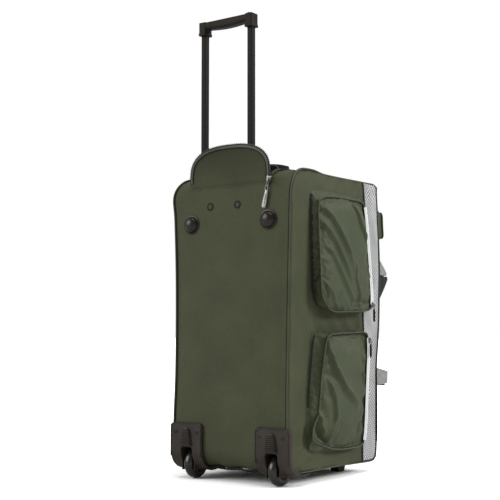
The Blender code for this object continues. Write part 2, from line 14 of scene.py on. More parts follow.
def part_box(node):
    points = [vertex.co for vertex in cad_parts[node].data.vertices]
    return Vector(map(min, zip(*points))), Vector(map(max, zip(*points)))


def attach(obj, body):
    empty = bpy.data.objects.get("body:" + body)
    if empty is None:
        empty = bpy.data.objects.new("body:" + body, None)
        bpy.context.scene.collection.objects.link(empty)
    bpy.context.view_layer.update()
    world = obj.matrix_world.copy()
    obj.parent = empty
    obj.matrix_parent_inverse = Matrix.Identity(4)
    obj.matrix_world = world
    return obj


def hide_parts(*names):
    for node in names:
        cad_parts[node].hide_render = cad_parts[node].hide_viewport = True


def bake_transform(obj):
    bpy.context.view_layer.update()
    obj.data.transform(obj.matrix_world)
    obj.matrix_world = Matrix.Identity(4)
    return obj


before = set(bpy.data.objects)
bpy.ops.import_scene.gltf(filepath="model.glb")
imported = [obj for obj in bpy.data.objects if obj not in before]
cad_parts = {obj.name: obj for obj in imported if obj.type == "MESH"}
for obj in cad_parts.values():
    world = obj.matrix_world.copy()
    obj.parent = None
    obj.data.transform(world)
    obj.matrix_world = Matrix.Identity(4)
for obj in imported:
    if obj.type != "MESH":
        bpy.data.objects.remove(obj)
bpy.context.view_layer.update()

BACK_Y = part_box("back_panel")[0].y
SIDES = {"left": -1, "right": 1}
REARWARD, FORWARD = Vector((0, -1, 0)), Vector((0, 1, 0))

# ---------------------------------------------------------------- sizes, in bag coordinates

TOP_Z = 0.695
BOTTOM_Z = 0.027
FRONT_Y = 0.380
SEAM_Y = 0.318
TOP_RADIUS = 0.060
LOW_RADIUS = 0.040
EDGE_RADIUS = 0.007
FOLD_Z = 0.672
TONGUE_X = 0.1135
OPENING_Y = 0.070
FLAP_HALF = 0.110
FLAP_TOP = 0.7575
FLAP_SPRING_Z = 0.690
FLAP_SQUARENESS = 2.6
WHEEL = Vector((0.1165, 0.028, 0.035))
WHEEL_SLOT_X, WHEEL_SLOT_Y, WHEEL_SLOT_Z = (0.094, 0.139), 0.074, 0.083
SHEET = 0.0024  # thickness of the flap's and the doors' cloth

RIGHT_EDGE = [(0.027, 0.1560), (0.130, 0.1540), (0.245, 0.1555), (0.447, 0.1600), (0.595, 0.1640),
              (0.660, 0.1655), (0.695, 0.1610)]
LEFT_EDGE = [(0.027, 0.1590), (0.130, 0.1585), (0.240, 0.1540), (0.440, 0.1535), (0.600, 0.1590),
             (0.655, 0.1645), (0.695, 0.1600)]
TOP_EDGE = [(0.060, 0.6975), (0.100, 0.6980), (0.145, 0.6935), (0.320, 0.6956), (0.400, 0.6970)]
FRONT_EDGE = [(0.027, 0.3800), (0.055, 0.3860), (0.100, 0.3890), (0.200, 0.3900), (0.250, 0.3895),
              (0.310, 0.3965), (0.360, 0.4000), (0.440, 0.4005), (0.490, 0.4000), (0.570, 0.3925),
              (0.625, 0.3850), (0.667, 0.3810), (0.695, 0.3900)]
BOTTOM_EDGE = [(0.040, 0.0300), (0.200, 0.0300), (0.354, 0.0262), (0.380, 0.0290)]


# ---------------------------------------------------------------- numbers


def clamp(t, low=0.0, high=1.0):
    return max(low, min(high, t))


def ease(low, high, t):
    t = clamp((t - low) / (high - low))
    return t * t * (3 - 2 * t)


def mix(a, b, t):
    return a + (b - a) * t


def evenly(low, high, count):
    """Numbers from low to high in this many equal steps."""
    return [mix(low, high, i / count) for i in range(count + 1)]


def bell(t, centre, width):
    return math.exp(-(((t - centre) / width) ** 2))


def follow(knots, t):
    """A smooth curve through (position, value) knots."""
    if t <= knots[0][0]:
        return knots[0][1]
    if t >= knots[-1][0]:
        return knots[-1][1]
    i = next(k for k in range(len(knots) - 1) if t <= knots[k + 1][0])
    slopes = []
    for k in (i, i + 1):
        a, b = knots[max(k - 1, 0)], knots[min(k + 1, len(knots) - 1)]
        slopes.append((b[1] - a[1]) / (b[0] - a[0]))
    (p, a), (q, b) = knots[i], knots[i + 1]
    h, s = q - p, (t - p) / (q - p)
    return (
        a * (1 + 2 * s) * (1 - s) ** 2
        + slopes[0] * h * s * (1 - s) ** 2
        + b * s * s * (3 - 2 * s)
        + slopes[1] * h * s * s * (s - 1)
    )


def waves(x, y, z, size, seed=0.0):
    """Smooth noise between about -1 and 1, with features of this size."""
    return noise.noise(Vector((x / size + seed, y / size - seed * 0.7, z / size + seed * 0.3)))


def arc(centre, radius, start, stop, steps):
    """Points (a, b) on a circle between two angles in degrees."""
    angles = [math.radians(angle) for angle in evenly(start, stop, steps)]
    return [(centre[0] + radius * math.cos(t), centre[1] + radius * math.sin(t)) for t in angles]


def even(points, spacing):
    """The same open path with points an even distance apart."""
    points = [Vector(p) for p in points]
    lengths = [0.0]
    for a, b in zip(points, points[1:]):
        lengths.append(lengths[-1] + (b - a).length)
    count = max(2, round(lengths[-1] / spacing))
    result, i = [], 0
    for k in range(count + 1):
        target = lengths[-1] * k / count
        while i < len(points) - 2 and lengths[i + 1] < target:
            i += 1
        span = lengths[i + 1] - lengths[i]
        result.append(points[i].lerp(points[i + 1], clamp((target - lengths[i]) / span if span else 0)))
    return result


# ---------------------------------------------------------------- meshes as (points, faces)


def joined(*meshes):
    points, faces = [], []
    for some_points, some_faces in meshes:
        base = len(points)
        points += [tuple(p) for p in some_points]
        faces += [tuple(i + base for i in face) for face in some_faces]
    return points, faces


BOX_FACES = [(0, 3, 2, 1), (4, 5, 6, 7), (0, 1, 5, 4), (1, 2, 6, 5), (2, 3, 7, 6), (3, 0, 4, 7)]


def prism_faces(count):
    """The faces between two outlines of this many points, low one first."""
    faces = [tuple(reversed(range(count))), tuple(range(count, 2 * count))]
    return faces + [(i, (i + 1) % count, count + (i + 1) % count, count + i) for i in range(count)]


def flipped(mesh):
    return mesh[0], [tuple(reversed(face)) for face in mesh[1]]


def mirrored(mesh):
    return [(-x, y, z) for x, y, z in mesh[0]], [tuple(reversed(face)) for face in mesh[1]]


def lattice(rows, keep=None, closed=False):
    """Faces over rows of points, each row as long as the last."""
    width = len(rows[0])
    points = [tuple(p) for row in rows for p in row]
    faces = []
    for j in range(len(rows) - 1):
        for i in range(width if closed else width - 1):
            n = (i + 1) % width
            if keep is None or keep(j, i):
                faces.append((j * width + i, j * width + n, (j + 1) * width + n, (j + 1) * width + i))
    return points, faces


def sweep(path, normals, section, closed=False, caps=True):
    """A closed section of (side, normal) offsets carried along a path.

    A section may be a function of (step, t).
    """
    path = [Vector(p) for p in path]
    count = len(path)
    rows = []
    for i, point in enumerate(path):
        before = path[i - 1] if closed or i else path[0]
        after = path[(i + 1) % count] if closed or i < count - 1 else path[-1]
        along = (after - before).normalized()
        normal = Vector(normals[i] if isinstance(normals, list) else normals)
        normal = (normal - along * normal.dot(along)).normalized()
        side = along.cross(normal)
        shape = section(i, i / max(count - 1, 1)) if callable(section) else section
        rows.append([point + side * a + normal * b for a, b in shape])
    if closed:
        rows.append(rows[0])
    points, faces = lattice(rows, closed=True)
    if caps and not closed:
        width = len(rows[0])
        last = (count - 1) * width
        faces += [tuple(reversed(range(width))), tuple(range(last, last + width))]
    return points, faces


def circle(radius, sides=10):
    turns = [math.tau * i / sides for i in range(sides)]
    return [(radius * math.cos(t), radius * math.sin(t)) for t in turns]


def rounded(width, height, radius, steps=3):
    """A rectangle with rounded corners, centred, as (side, normal) offsets."""
    a, b = width / 2 - radius, height / 2 - radius
    outline = []
    for cx, cy, start in ((a, b, 0), (-a, b, 90), (-a, -b, 180), (a, -b, 270)):
        outline += arc((cx, cy), radius, start, start + 90, steps)
    return outline


def strap(width, thickness):
    """A flat tape's section: thin, with softly rounded edges."""
    return rounded(width, thickness, thickness * 0.45, 2)


def lathe(profile, centre, axis, segments=48):
    """Turns an open profile of (radius, height) round the axis through the centre."""
    axis = Vector(axis).normalized()
    across = axis.orthogonal().normalized()
    other = axis.cross(across)
    centre = Vector(centre)
    rows = []
    for radius, height in profile:
        ring = []
        for k in range(segments):
            t = math.tau * k / segments
            ring.append(centre + axis * height + (across * math.cos(t) + other * math.sin(t)) * radius)
        rows.append(ring)
    return lattice(rows, closed=True)


def block(low, high):
    (a, b, c), (d, e, f) = low, high
    points = [(a, b, c), (d, b, c), (d, e, c), (a, e, c), (a, b, f), (d, b, f), (d, e, f), (a, e, f)]
    return points, BOX_FACES


def prism(outline, low, high, axis="X"):
    """An outline of two coordinates, extruded along the third."""
    order = {"X": lambda p, h: (h, *p), "Y": lambda p, h: (p[0], h, p[1]), "Z": lambda p, h: (*p, h)}[axis]
    return [order(p, h) for h in (low, high) for p in outline], prism_faces(len(outline))


# ---------------------------------------------------------------- pieces


def place(point):
    return (point[0], point[1] + BACK_Y, point[2])


def mesh_object(name, mesh):
    data = bpy.data.meshes.new(name)
    data.from_pydata([place(p) for p in mesh[0]], [], mesh[1])
    shape = bmesh.new()
    shape.from_mesh(data)
    bmesh.ops.remove_doubles(shape, verts=shape.verts, dist=2e-6)
    shape.to_mesh(data)
    shape.free()
    data.validate()
    obj = bpy.data.objects.new(name, data)
    bpy.context.scene.collection.objects.link(obj)
    return obj


def turned_out(obj):
    """Makes the faces of closed shapes point outwards."""
    shape = bmesh.new()
    shape.from_mesh(obj.data)
    bmesh.ops.recalc_face_normals(shape, faces=shape.faces)
    shape.to_mesh(obj.data)
    shape.free()


def freeze(obj):
    """Applies the modifiers."""
    graph = bpy.context.evaluated_depsgraph_get()
    data = bpy.data.meshes.new_from_object(obj.evaluated_get(graph))
    obj.modifiers.clear()
    obj.data = data
    return obj


def thickened(obj, thickness, offset=-1.0, lined=False):
    """Gives a sheet its thickness; a lined one shows its second material on the inside."""
    shell = obj.modifiers.new("thickness", "SOLIDIFY")
    shell.thickness, shell.offset, shell.material_offset = thickness, offset, int(lined)


def softened(obj, levels):
    soft = obj.modifiers.new("smooth", "SUBSURF")
    soft.levels = soft.render_levels = levels


def piece(name, mesh, body, material, replaces=(), closed=True, smooth=True, bevel=0.0, subdivide=0,
          thickness=0.0, lining=None, angle=40):
    """A visible piece: its mesh in bag coordinates, the body that it rides on and its material."""
    obj = mesh_object(name, mesh)
    if closed:
        turned_out(obj)
    obj.data.materials.append(MATERIALS[material])
    if lining:
        obj.data.materials.append(MATERIALS[lining])
    if thickness:
        thickened(obj, thickness, lined=bool(lining))
    if bevel:
        edge = obj.modifiers.new("bevel", "BEVEL")
        edge.width, edge.segments, edge.limit_method, edge.angle_limit = bevel, 2, "ANGLE", math.radians(35)
    if subdivide:
        softened(obj, subdivide)
    if thickness or bevel or subdivide:
        freeze(obj)
    finish_piece(obj, body, replaces, smooth, angle)
    return obj


def handed(mesh, side):
    return mesh if side > 0 else mirrored(mesh)


def swept(name, path, normals, section, body, material, side=1, loop=False, angle=0,
          replaces=()):
    """A section carried along a path as one piece, mirrored for the left side."""
    mesh = handed(sweep(path, normals, section, closed=loop), side)
    return piece(name, mesh, body, material, angle=angle, replaces=replaces)


def finish_piece(obj, body, replaces=(), smooth=True, angle=40):
    if smooth:
        obj.data.shade_smooth()
        if angle:
            obj.data.set_sharp_from_angle(angle=math.radians(angle))
    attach(obj, body)
    if replaces:
        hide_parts(*replaces)


def moulded(name, parts, cutters, body, material, replaces=(), voxel=0.0009, passes=6):
    """One moulded solid: overlapping closed parts fused, cut, and with every edge softened."""
    obj = mesh_object(name, joined(*parts))
    turned_out(obj)
    obj.data.materials.append(MATERIALS[material])
    fuse = obj.modifiers.new("fuse", "REMESH")
    fuse.mode, fuse.voxel_size = "VOXEL", voxel
    tool = None
    if cutters:
        tool = mesh_object(name + "_cutter", joined(*cutters))
        turned_out(tool)
        cut = obj.modifiers.new("cut", "BOOLEAN")
        cut.operation, cut.object, cut.solver = "DIFFERENCE", tool, "EXACT"
        again = obj.modifiers.new("again", "REMESH")
        again.mode, again.voxel_size = "VOXEL", voxel
    soften = obj.modifiers.new("soften", "SMOOTH")
    soften.factor, soften.iterations = 0.5, passes
    freeze(obj)
    if tool:
        bpy.data.objects.remove(tool)
    finish_piece(obj, body, replaces, angle=0)
    return obj


def zip_teeth(path, normals, pitch=0.0026, reach=0.0021, width=0.0014, height=0.0016):
    """Two rows of teeth that lock along a path."""
    points = even(path, pitch)
    meshes = []
    for i, point in enumerate(points):
        along = (points[min(i + 1, len(points) - 1)] - points[max(i - 1, 0)]).normalized()
        normal = Vector(normals(i / (len(points) - 1)) if callable(normals) else normals)
        normal = (normal - along * normal.dot(along)).normalized()
        side = along.cross(normal) * (1 if i % 2 else -1)
        low, high = -0.0006, reach
        corners = []
        for up, trim in ((0.0, 1.0), (height, 0.72)):
            for s, a in ((low, -1), (high, -1), (high, 1), (low, 1)):
                corners.append(point + side * s + along * (a * width / 2 * trim) + normal * up)
        meshes.append((corners, BOX_FACES))
    return joined(*meshes)


def stitches(path, normals, length=0.0034, gap=0.0016, radius=0.00038):
    """A row of short raised threads along a path."""
    points = even(path, length + gap)
    meshes = []
    for i, (a, b) in enumerate(zip(points, points[1:])):
        normal = Vector(normals(i / (len(points) - 1)) if callable(normals) else normals).normalized()
        end = a + (b - a) * (length / (length + gap))
        crown = [a.lerp(end, t) + normal * radius * 0.6 for t in (0.25, 0.75)]
        row = [a - normal * radius, *crown, end - normal * radius]
        meshes.append(sweep(row, normal, circle(radius, 5)))
    return joined(*meshes)


# ---------------------------------------------------------------- materials


def linear(colour):
    """An sRGB colour of 0 to 255 as linear light."""
    return tuple(c / 3294.6 if c <= 10.3 else ((c / 255 + 0.055) / 1.055) ** 2.4 for c in colour) + (1.0,)


class Finish:
    """A material and short ways to add its nodes."""

    def __init__(self, name, colour, roughness, **settings):
        self.material = bpy.data.materials.new(name)
        self.material.use_nodes = True
        self.tree = self.material.node_tree
        self.shader = self.tree.nodes["Principled BSDF"]
        self.shader.inputs["Base Color"].default_value = linear(colour)
        self.shader.inputs["Roughness"].default_value = roughness
        for label, value in settings.items():
            self.shader.inputs[label.replace("_", " ").title().replace("Ior", "IOR")].default_value = value
        self.material.diffuse_color = linear(colour)
        self.where = self.tree.nodes.new("ShaderNodeTexCoord").outputs["Object"]
        self.facing = None
        MATERIALS[name] = self.material

    def node(self, kind, inputs=(), **settings):
        made = self.tree.nodes.new(kind)
        for label, value in settings.items():
            setattr(made, label, value)
        for socket, value in dict(inputs).items():
            if isinstance(value, bpy.types.NodeSocket):
                self.tree.links.new(value, made.inputs[socket])
            else:
                made.inputs[socket].default_value = value
        return made

    def maths(self, operation, a, b=0.0, clamped=False):
        return self.node("ShaderNodeMath", {0: a, 1: b}, operation=operation, use_clamp=clamped).outputs[0]

    def axes(self):
        split = self.node("ShaderNodeSeparateXYZ", {0: self.where})
        return [split.outputs[i] for i in range(3)]

    def noise(self, scale, detail=3.0, stretch=(1, 1, 1), roughness=0.55):
        spread = self.node("ShaderNodeMapping", {"Vector": self.where, "Scale": stretch})
        made = self.node("ShaderNodeTexNoise", {"Vector": spread.outputs[0], "Scale": scale,
                                                "Detail": detail, "Roughness": roughness})
        return made.outputs[0]

    def weights(self):
        """How far the surface faces X, Y and Z, each from 0 to 1."""
        if self.facing is None:
            normal = self.tree.nodes.new("ShaderNodeTexCoord").outputs["Normal"]
            split = self.node("ShaderNodeSeparateXYZ", {0: normal})
            self.facing = [self.maths("POWER", self.maths("ABSOLUTE", split.outputs[i]), 3.0)
                           for i in range(3)]
        return self.facing

    def wave(self, along, period, phase=None):
        """A sine of this period in metres along a coordinate."""
        turn = self.maths("MULTIPLY", along, math.tau / period)
        if phase is not None:
            turn = self.maths("ADD", turn, phase)
        return self.maths("SINE", turn)

    def weave(self, period, twill=0.0):
        """Threads over and under in both directions of whichever way the surface faces."""
        x, y, z = self.axes()
        total = None
        for weight, (a, b) in zip(self.weights(), ((y, z), (x, z), (x, y))):
            shift = self.maths("MULTIPLY", b, twill * math.tau / period) if twill else None
            both = self.maths("MULTIPLY", self.wave(a, period, shift), self.wave(b, period))
            part = self.maths("MULTIPLY", both, weight)
            total = part if total is None else self.maths("ADD", total, part)
        return total

    def tint(self, factor, dark, light, low=0.3, high=0.7):
        """Colours the surface from dark to light as the factor goes from low to high."""
        spread = self.node("ShaderNodeMapRange", {0: factor, 1: low, 2: high})
        ramp = self.node("ShaderNodeMix", {"Factor": spread.outputs[0]}, data_type="RGBA")
        ramp.inputs[6].default_value = linear(dark)
        ramp.inputs[7].default_value = linear(light)
        return ramp.outputs[2]

    def blend(self, factor, a, b, kind="MIX"):
        ramp = self.node("ShaderNodeMix", {"Factor": factor, 6: a, 7: b}, data_type="RGBA", blend_type=kind)
        return ramp.outputs[2]

    def colour(self, socket):
        self.tree.links.new(socket, self.shader.inputs["Base Color"])

    def ranged(self, factor, low, high, first, last):
        """Goes from first to last as the factor goes from low to high."""
        return self.node("ShaderNodeMapRange", {0: factor, 1: low, 2: high, 3: first, 4: last}).outputs[0]

    def grey(self, level):
        return self.node("ShaderNodeCombineColor", {0: level, 1: level, 2: level}).outputs[0]

    def shaded(self, base, level):
        """Colours the surface with the base, made darker or lighter by a level around 1."""
        self.colour(self.blend(1.0, base, self.grey(level), "MULTIPLY"))

    def rough(self, factor, low, high):
        self.tree.links.new(self.ranged(factor, 0.0, 1.0, low, high), self.shader.inputs["Roughness"])

    def bump(self, *heights):
        """Raises the surface by (height, metres, strength) in turn."""
        normal = None
        for height, distance, strength in heights:
            inputs = {"Height": height, "Distance": distance, "Strength": strength}
            if normal is not None:
                inputs["Normal"] = normal
            normal = self.node("ShaderNodeBump", inputs).outputs[0]
        self.tree.links.new(normal, self.shader.inputs["Normal"])


def cloth_finish(name, dark, light, roughness, period=0.0016, sheen=0.08, depth=0.00022, twill=0.0,
                 specular=0.22, crinkle=0.0):
    made = Finish(name, light, roughness, sheen_weight=sheen, sheen_roughness=0.45,
                  specular_ior_level=specular)
    made.shader.inputs["Sheen Tint"].default_value = linear(light)
    threads = made.weave(period, twill)
    cloudy = made.noise(9.0, 4.0)
    base = made.tint(cloudy, dark, light, 0.32, 0.68)
    slubs = made.noise(420.0, 2.0, (1, 1, 0.25))
    base = made.blend(0.14, base, made.tint(slubs, (20, 20, 14), (255, 255, 245), 0.1, 0.9), "OVERLAY")
    made.shaded(base, made.ranged(threads, -0.9, 0.9, 0.78, 1.12))
    made.rough(cloudy, roughness - 0.06, roughness + 0.08)
    heights = [(threads, depth, 0.55), (made.noise(60.0, 3.0), 0.0005, 0.18)]
    if crinkle:
        heights.insert(0, (made.noise(34.0, 2.0, (1, 1, 0.8)), crinkle, 0.7))
    made.bump(*heights)
    return made


def plastic_finish(name, dark, light, roughness, grain=900.0, depth=0.00010, coat=0.0, specular=0.25):
    made = Finish(name, light, roughness, specular_ior_level=specular, coat_weight=coat, coat_roughness=0.2)
    made.colour(made.tint(made.noise(30.0, 4.0), dark, light))
    scuffs = made.noise(55.0, 5.0, (1, 1, 0.35))
    made.rough(scuffs, roughness - 0.07, roughness + 0.1)
    made.bump((made.noise(grain, 2.0), depth, 0.5))
    return made


def flap_painted_shade_finish():
    """The body's fabric, darker towards the top of the flap, as painted shade."""
    made = cloth_finish("flap_fabric", (62, 65, 47), (71, 74, 54), 0.66, specular=0.14, sheen=0.06, twill=0.5)
    plain = made.shader.inputs["Base Color"].links[0].from_socket
    # painted shade: the colour darkens towards the flap's top
    made.shaded(plain, made.ranged(made.axes()[2], 0.676, 0.745, 1.0, 0.66))


MATERIALS = {}

cloth_finish("fabric", (66, 70, 50), (75, 79, 57), 0.62, specular=0.16, sheen=0.06, twill=0.5)
cloth_finish("fabric_gloss", (64, 71, 50), (74, 81, 58), 0.52, sheen=0.06, twill=0.5, crinkle=0.0006)
flap_painted_shade_finish()
cloth_finish("piping", (60, 64, 47), (77, 81, 61), 0.46, 0.0009, specular=0.3)
# dark binding tape, also used for strips of painted shade beside the side piping, inside the pockets' piping
# and down the side pockets' rear
cloth_finish("binding", (24, 22, 18), (38, 35, 30), 0.6, 0.0011)
cloth_finish("rim_tape", (72, 68, 63), (98, 94, 88), 0.5, 0.0010)
cloth_finish("zip_tape", (236, 238, 238), (250, 251, 250), 0.5, 0.0010)
# dark tape for the zips, also used for the stow opening's lip, where its dark is painted shade
cloth_finish("dark_tape", (34, 34, 30), (50, 50, 45), 0.6, 0.0010)
cloth_finish("black_webbing", (20, 20, 21), (34, 33, 33), 0.62, 0.0021, depth=0.0005)
cloth_finish("lining", (44, 45, 40), (56, 57, 50), 0.75, 0.0020)
cloth_finish("thread", (52, 55, 42), (92, 96, 78), 0.6, 0.0008)


def mesh_fabric():
    """Light woven mesh: bright ribs with a small dark hole in each cell, and a fine diagonal between them."""
    made = Finish("mesh_fabric", (166, 168, 166), 0.45, sheen_weight=0.25, sheen_roughness=0.4,
                  specular_ior_level=0.5)
    x, y, z = made.axes()
    cells = made.weave(0.0096)
    lean = made.maths("ADD", made.maths("ADD", x, y), z)
    ribs = made.wave(lean, 0.0096)
    fine = made.weave(0.0016)
    cloudy = made.noise(22.0, 4.0)
    base = made.tint(cloudy, (194, 196, 196), (238, 240, 239), 0.3, 0.7)
    holes = made.ranged(cells, -0.6, 0.10, 0.05, 1.0)
    lines = made.ranged(ribs, -1.0, 0.1, 0.22, 1.0)
    made.shaded(base, made.maths("MULTIPLY", holes, lines))
    made.rough(cloudy, 0.38, 0.58)
    made.bump((cells, 0.0009, 0.6), (ribs, 0.0006, 0.5), (fine, 0.0002, 0.4))


def webbing():
    """Ribbed webbing, light grey."""
    made = Finish("webbing", (150, 150, 148), 0.6, sheen_weight=0.3, sheen_roughness=0.5)
    ribs = made.weave(0.0024, 1.0)
    base = made.tint(made.noise(120.0, 3.0), (128, 128, 126), (166, 166, 163))
    made.shaded(base, made.ranged(ribs, -0.9, 0.5, 0.62, 1.0))
    made.rough(made.noise(60.0), 0.5, 0.7)
    made.bump((ribs, 0.0006, 0.7))


def tube_metal():
    """Satin painted tube, with faint drawing lines along it."""
    made = Finish("tube_metal", (36, 32, 29), 0.5, specular_ior_level=0.1)
    lines = made.noise(260.0, 3.0, (1, 1, 0.012))
    made.colour(made.tint(lines, (21, 18, 16), (31, 27, 25)))
    made.rough(lines, 0.42, 0.58)
    made.bump((lines, 0.00006, 0.4))


def metal(name, dark, light, roughness):
    made = Finish(name, light, roughness, metallic=1.0)
    spots = made.noise(180.0, 4.0)
    made.colour(made.tint(spots, dark, light))
    made.rough(made.noise(90.0, 3.0), roughness - 0.08, roughness + 0.12)
    made.bump((made.noise(700.0), 0.00005, 0.35))


mesh_fabric()
webbing()
tube_metal()
metal("steel", (120, 120, 120), (158, 158, 156), 0.36)
metal("nickel", (96, 94, 91), (128, 126, 122), 0.38)
plastic_finish("moulded_plastic", (44, 38, 33), (57, 50, 44), 0.46, specular=0.2)
plastic_finish("grip_plastic", (28, 24, 20), (40, 35, 29), 0.5, specular=0.10)
plastic_finish("gloss_plastic", (24, 18, 15), (36, 28, 24), 0.27, coat=0.12)
plastic_finish("black_plastic", (18, 17, 17), (28, 27, 26), 0.38)
plastic_finish("tyre", (20, 18, 17), (34, 31, 29), 0.24, grain=400.0, coat=0.5)
plastic_finish("hub_plastic", (34, 31, 29), (46, 42, 39), 0.36)
plastic_finish("board", (30, 30, 29), (44, 44, 42), 0.6)


# ---------------------------------------------------------------- the body's soft shape


def edge_x(side, z):
    """Half the width at this height, where the side seam runs: the waist drawn in, the shoulders full."""
    return follow(RIGHT_EDGE if side > 0 else LEFT_EDGE, z)


def outline_y(z):
    """The back seam of the side panel."""
    if z > TOP_Z - TOP_RADIUS:
        drop = min(z - (TOP_Z - TOP_RADIUS), TOP_RADIUS)
        return TOP_RADIUS - math.sqrt(max(TOP_RADIUS**2 - drop**2, 0))
    if z < BOTTOM_Z + LOW_RADIUS:
        drop = min(BOTTOM_Z + LOW_RADIUS - z, LOW_RADIUS)
        return LOW_RADIUS - math.sqrt(max(LOW_RADIUS**2 - drop**2, 0))
    return 0.0


def lift(y, z):
    """The slight rise and fall of the top and bottom edges from front to back."""
    rise = ease(0.52, TOP_Z, z) * (follow(TOP_EDGE, y) - TOP_Z) * ease(0.02, 0.07, y)
    drop = (1 - ease(BOTTOM_Z, 0.15, z)) * (follow(BOTTOM_EDGE, y) - BOTTOM_Z)
    return z + rise + drop


def front_y(z):
    """The front edge bellies forward at the middle and draws back below the top."""
    return follow(FRONT_EDGE, z)


def rim_y(x):
    """How far back the stow opening's front edge reaches, from its corners to the middle."""
    return 0.020 + (OPENING_Y - 0.020) * max(1 - (abs(x) / TONGUE_X) ** 4, 0.0) ** 0.4


def top_crown(x, y):
    across = 1 - (x / 0.160) ** 2
    dip = 0.0075 * bell(abs(x), 0.115, 0.032) * (1 - ease(0.05, 0.13, y))
    rise = 0.009 * (1 - ease(0.05, 0.36, y)) + 0.004 * ease(0.02, 0.1, y) * (1 - ease(0.30, 0.38, y))
    return -dip + across * rise


def shared(points):
    """Stations whose seam and middle are the same point."""
    return [(point, point) for point in points]


def body_stations():
    """Points round the body from the front's lower border, under, up the back and over to its upper border.

    Each holds the seam's (y, z), and the (y, z) that the middle takes, which differ at the shoulders.
    """
    round_y, shoulder = FRONT_Y - EDGE_RADIUS, (TOP_RADIUS, TOP_Z - TOP_RADIUS)
    stations = shared([(FRONT_Y, z) for z in (0.0703, 0.060, 0.050, 0.041, 0.035)])
    stations += shared(arc((round_y, BOTTOM_Z + EDGE_RADIUS), EDGE_RADIUS, 0, -90, 3))
    stations += shared([(y, BOTTOM_Z) for y in evenly(round_y, LOW_RADIUS, 34)[1:-1]])
    stations += shared(arc((LOW_RADIUS, BOTTOM_Z + LOW_RADIUS), LOW_RADIUS, 270, 180, 9))
    stations += shared([(0.0, z) for z in evenly(BOTTOM_Z + LOW_RADIUS, TOP_Z - TOP_RADIUS, 68)[1:-1]])
    fold = math.degrees(math.asin((FOLD_Z - TOP_Z + TOP_RADIUS) / TOP_RADIUS))
    stations += [((y, z), (0.0, z)) for y, z in arc(shoulder, TOP_RADIUS, 180, 180 - fold, 5)]
    for i, point in enumerate(arc(shoulder, TOP_RADIUS, 180 - fold, 90, 9)[1:]):
        turn = (i + 1) / 9 * math.pi / 2
        stations.append((point, (0.062 * (1 - math.cos(turn)), FOLD_Z + 0.027 * math.sin(turn))))
    stations += shared([(y, TOP_Z) for y in evenly(TOP_RADIUS, round_y, 39)[1:]])
    stations += shared(arc((round_y, TOP_Z - EDGE_RADIUS), EDGE_RADIUS, 90, 0, 3)[1:])
    stations += shared([(FRONT_Y, z) for z in (0.682, 0.674, 0.665, 0.6553)])
    return stations


def body_point(u, station):
    """u runs from -1 at the left seam to 1 at the right."""
    (edge_y, edge_z), (middle_y, middle_z) = station
    side = 1 if u > 0 else -1
    x = u * edge_x(side, edge_z)
    shoulder = ease(TONGUE_X, 0.152, abs(x))
    y, z = mix(middle_y, edge_y, shoulder), mix(middle_z, edge_z, shoulder)
    inside = 1 - abs(u) ** 4
    back = ease(0.10, 0.22, z) * (1 - ease(0.52, 0.64, z)) * (1 - ease(0.0, 0.02, y))
    y -= back * inside * 0.0035
    if y < 0.03:
        y += inside * 0.0009 * waves(x, 0, z * 0.35, 0.045) * ease(0.03, 0.09, z) * (1 - ease(0.60, 0.66, z))
        y += 0.0016 * bell(abs(u), 0.93, 0.05) * back
    if z > 0.6 and y > 0.03:
        z += top_crown(x, y) + inside * 0.0016 * waves(x, y, 0, 0.05)
        z -= 0.0022 * bell(abs(u), 0.93, 0.035)
    if z < 0.05 and y > 0.03:
        z += inside * (0.002 * waves(x, y, 0, 0.07) - 0.0015)
    if z < 0.08 and y < 0.05:
        z += inside * 0.0022 * math.sin(x * 95) * (1 - ease(0.03, 0.06, z))
    if y > 0.33:
        y = mix(y, y / FRONT_Y * front_y(z), ease(0.33, 0.37, y))
    return (x, y, lift(y, z))


def near_rim(x, y):
    """The nearest point of the stow opening's rim in plan."""
    rim = [(a, rim_y(a)) for a in evenly(-TONGUE_X, TONGUE_X, 120)]
    return min(rim, key=lambda point: (point[0] - x) ** 2 + (point[1] - y) ** 2)


def in_opening(x, y, z):
    """The stow opening at the top, and the wheel slots at the bottom."""
    if z < WHEEL_SLOT_Z and y < WHEEL_SLOT_Y and WHEEL_SLOT_X[0] < abs(x) < WHEEL_SLOT_X[1]:
        return True
    return z > FOLD_Z + 0.0008 and abs(x) < TONGUE_X - 0.0004 and y < rim_y(x)


def body_shell():
    stations = body_stations()
    rows = [[body_point(u, station) for u in evenly(-1, 1, 44)] for station in stations]

    def keep(j, i):
        corners = [rows[j][i], rows[j][i + 1], rows[j + 1][i], rows[j + 1][i + 1]]
        centre = sum((Vector(c) for c in corners), Vector()) / 4
        return not in_opening(*centre)

    points, faces = lattice(rows, keep)
    used = {}
    for face in faces:
        for a, b in zip(face, face[1:] + face[:1]):
            key = (min(a, b), max(a, b))
            used[key] = used.get(key, 0) + 1
    border = {i for edge, count in used.items() if count == 1 for i in edge}
    for i in border:
        x, y, z = points[i]
        if z < FOLD_Z - 0.004 or y > 0.10 or abs(x) > 0.13:
            continue
        if z < FOLD_Z + 0.003 and y < 0.004:
            points[i] = (x, y, FOLD_Z)
        elif y < 0.022:
            points[i] = (math.copysign(TONGUE_X, x), y, z)
        else:
            points[i] = (*near_rim(x, y), z)
    return points, faces


body = piece("bag_body", body_shell(), "shell", "fabric", closed=False, thickness=0.0022,
             lining="lining", subdivide=1, angle=0,
             replaces=("back_panel", "top_panel", "bottom_panel", "front_top_border", "front_bottom_border"))


def side_rows():
    """Heights of the side panel's rows, closer together where the corners turn."""
    low = [BOTTOM_Z + LOW_RADIUS * (1 - math.cos(math.radians(a))) for a in range(0, 90, 10)]
    middle = [mix(BOTTOM_Z + LOW_RADIUS, TOP_Z - TOP_RADIUS, i / 72) for i in range(73)]
    high = [TOP_Z - TOP_RADIUS * (1 - math.sin(math.radians(a))) for a in range(9, 91, 9)]
    return low + middle + high


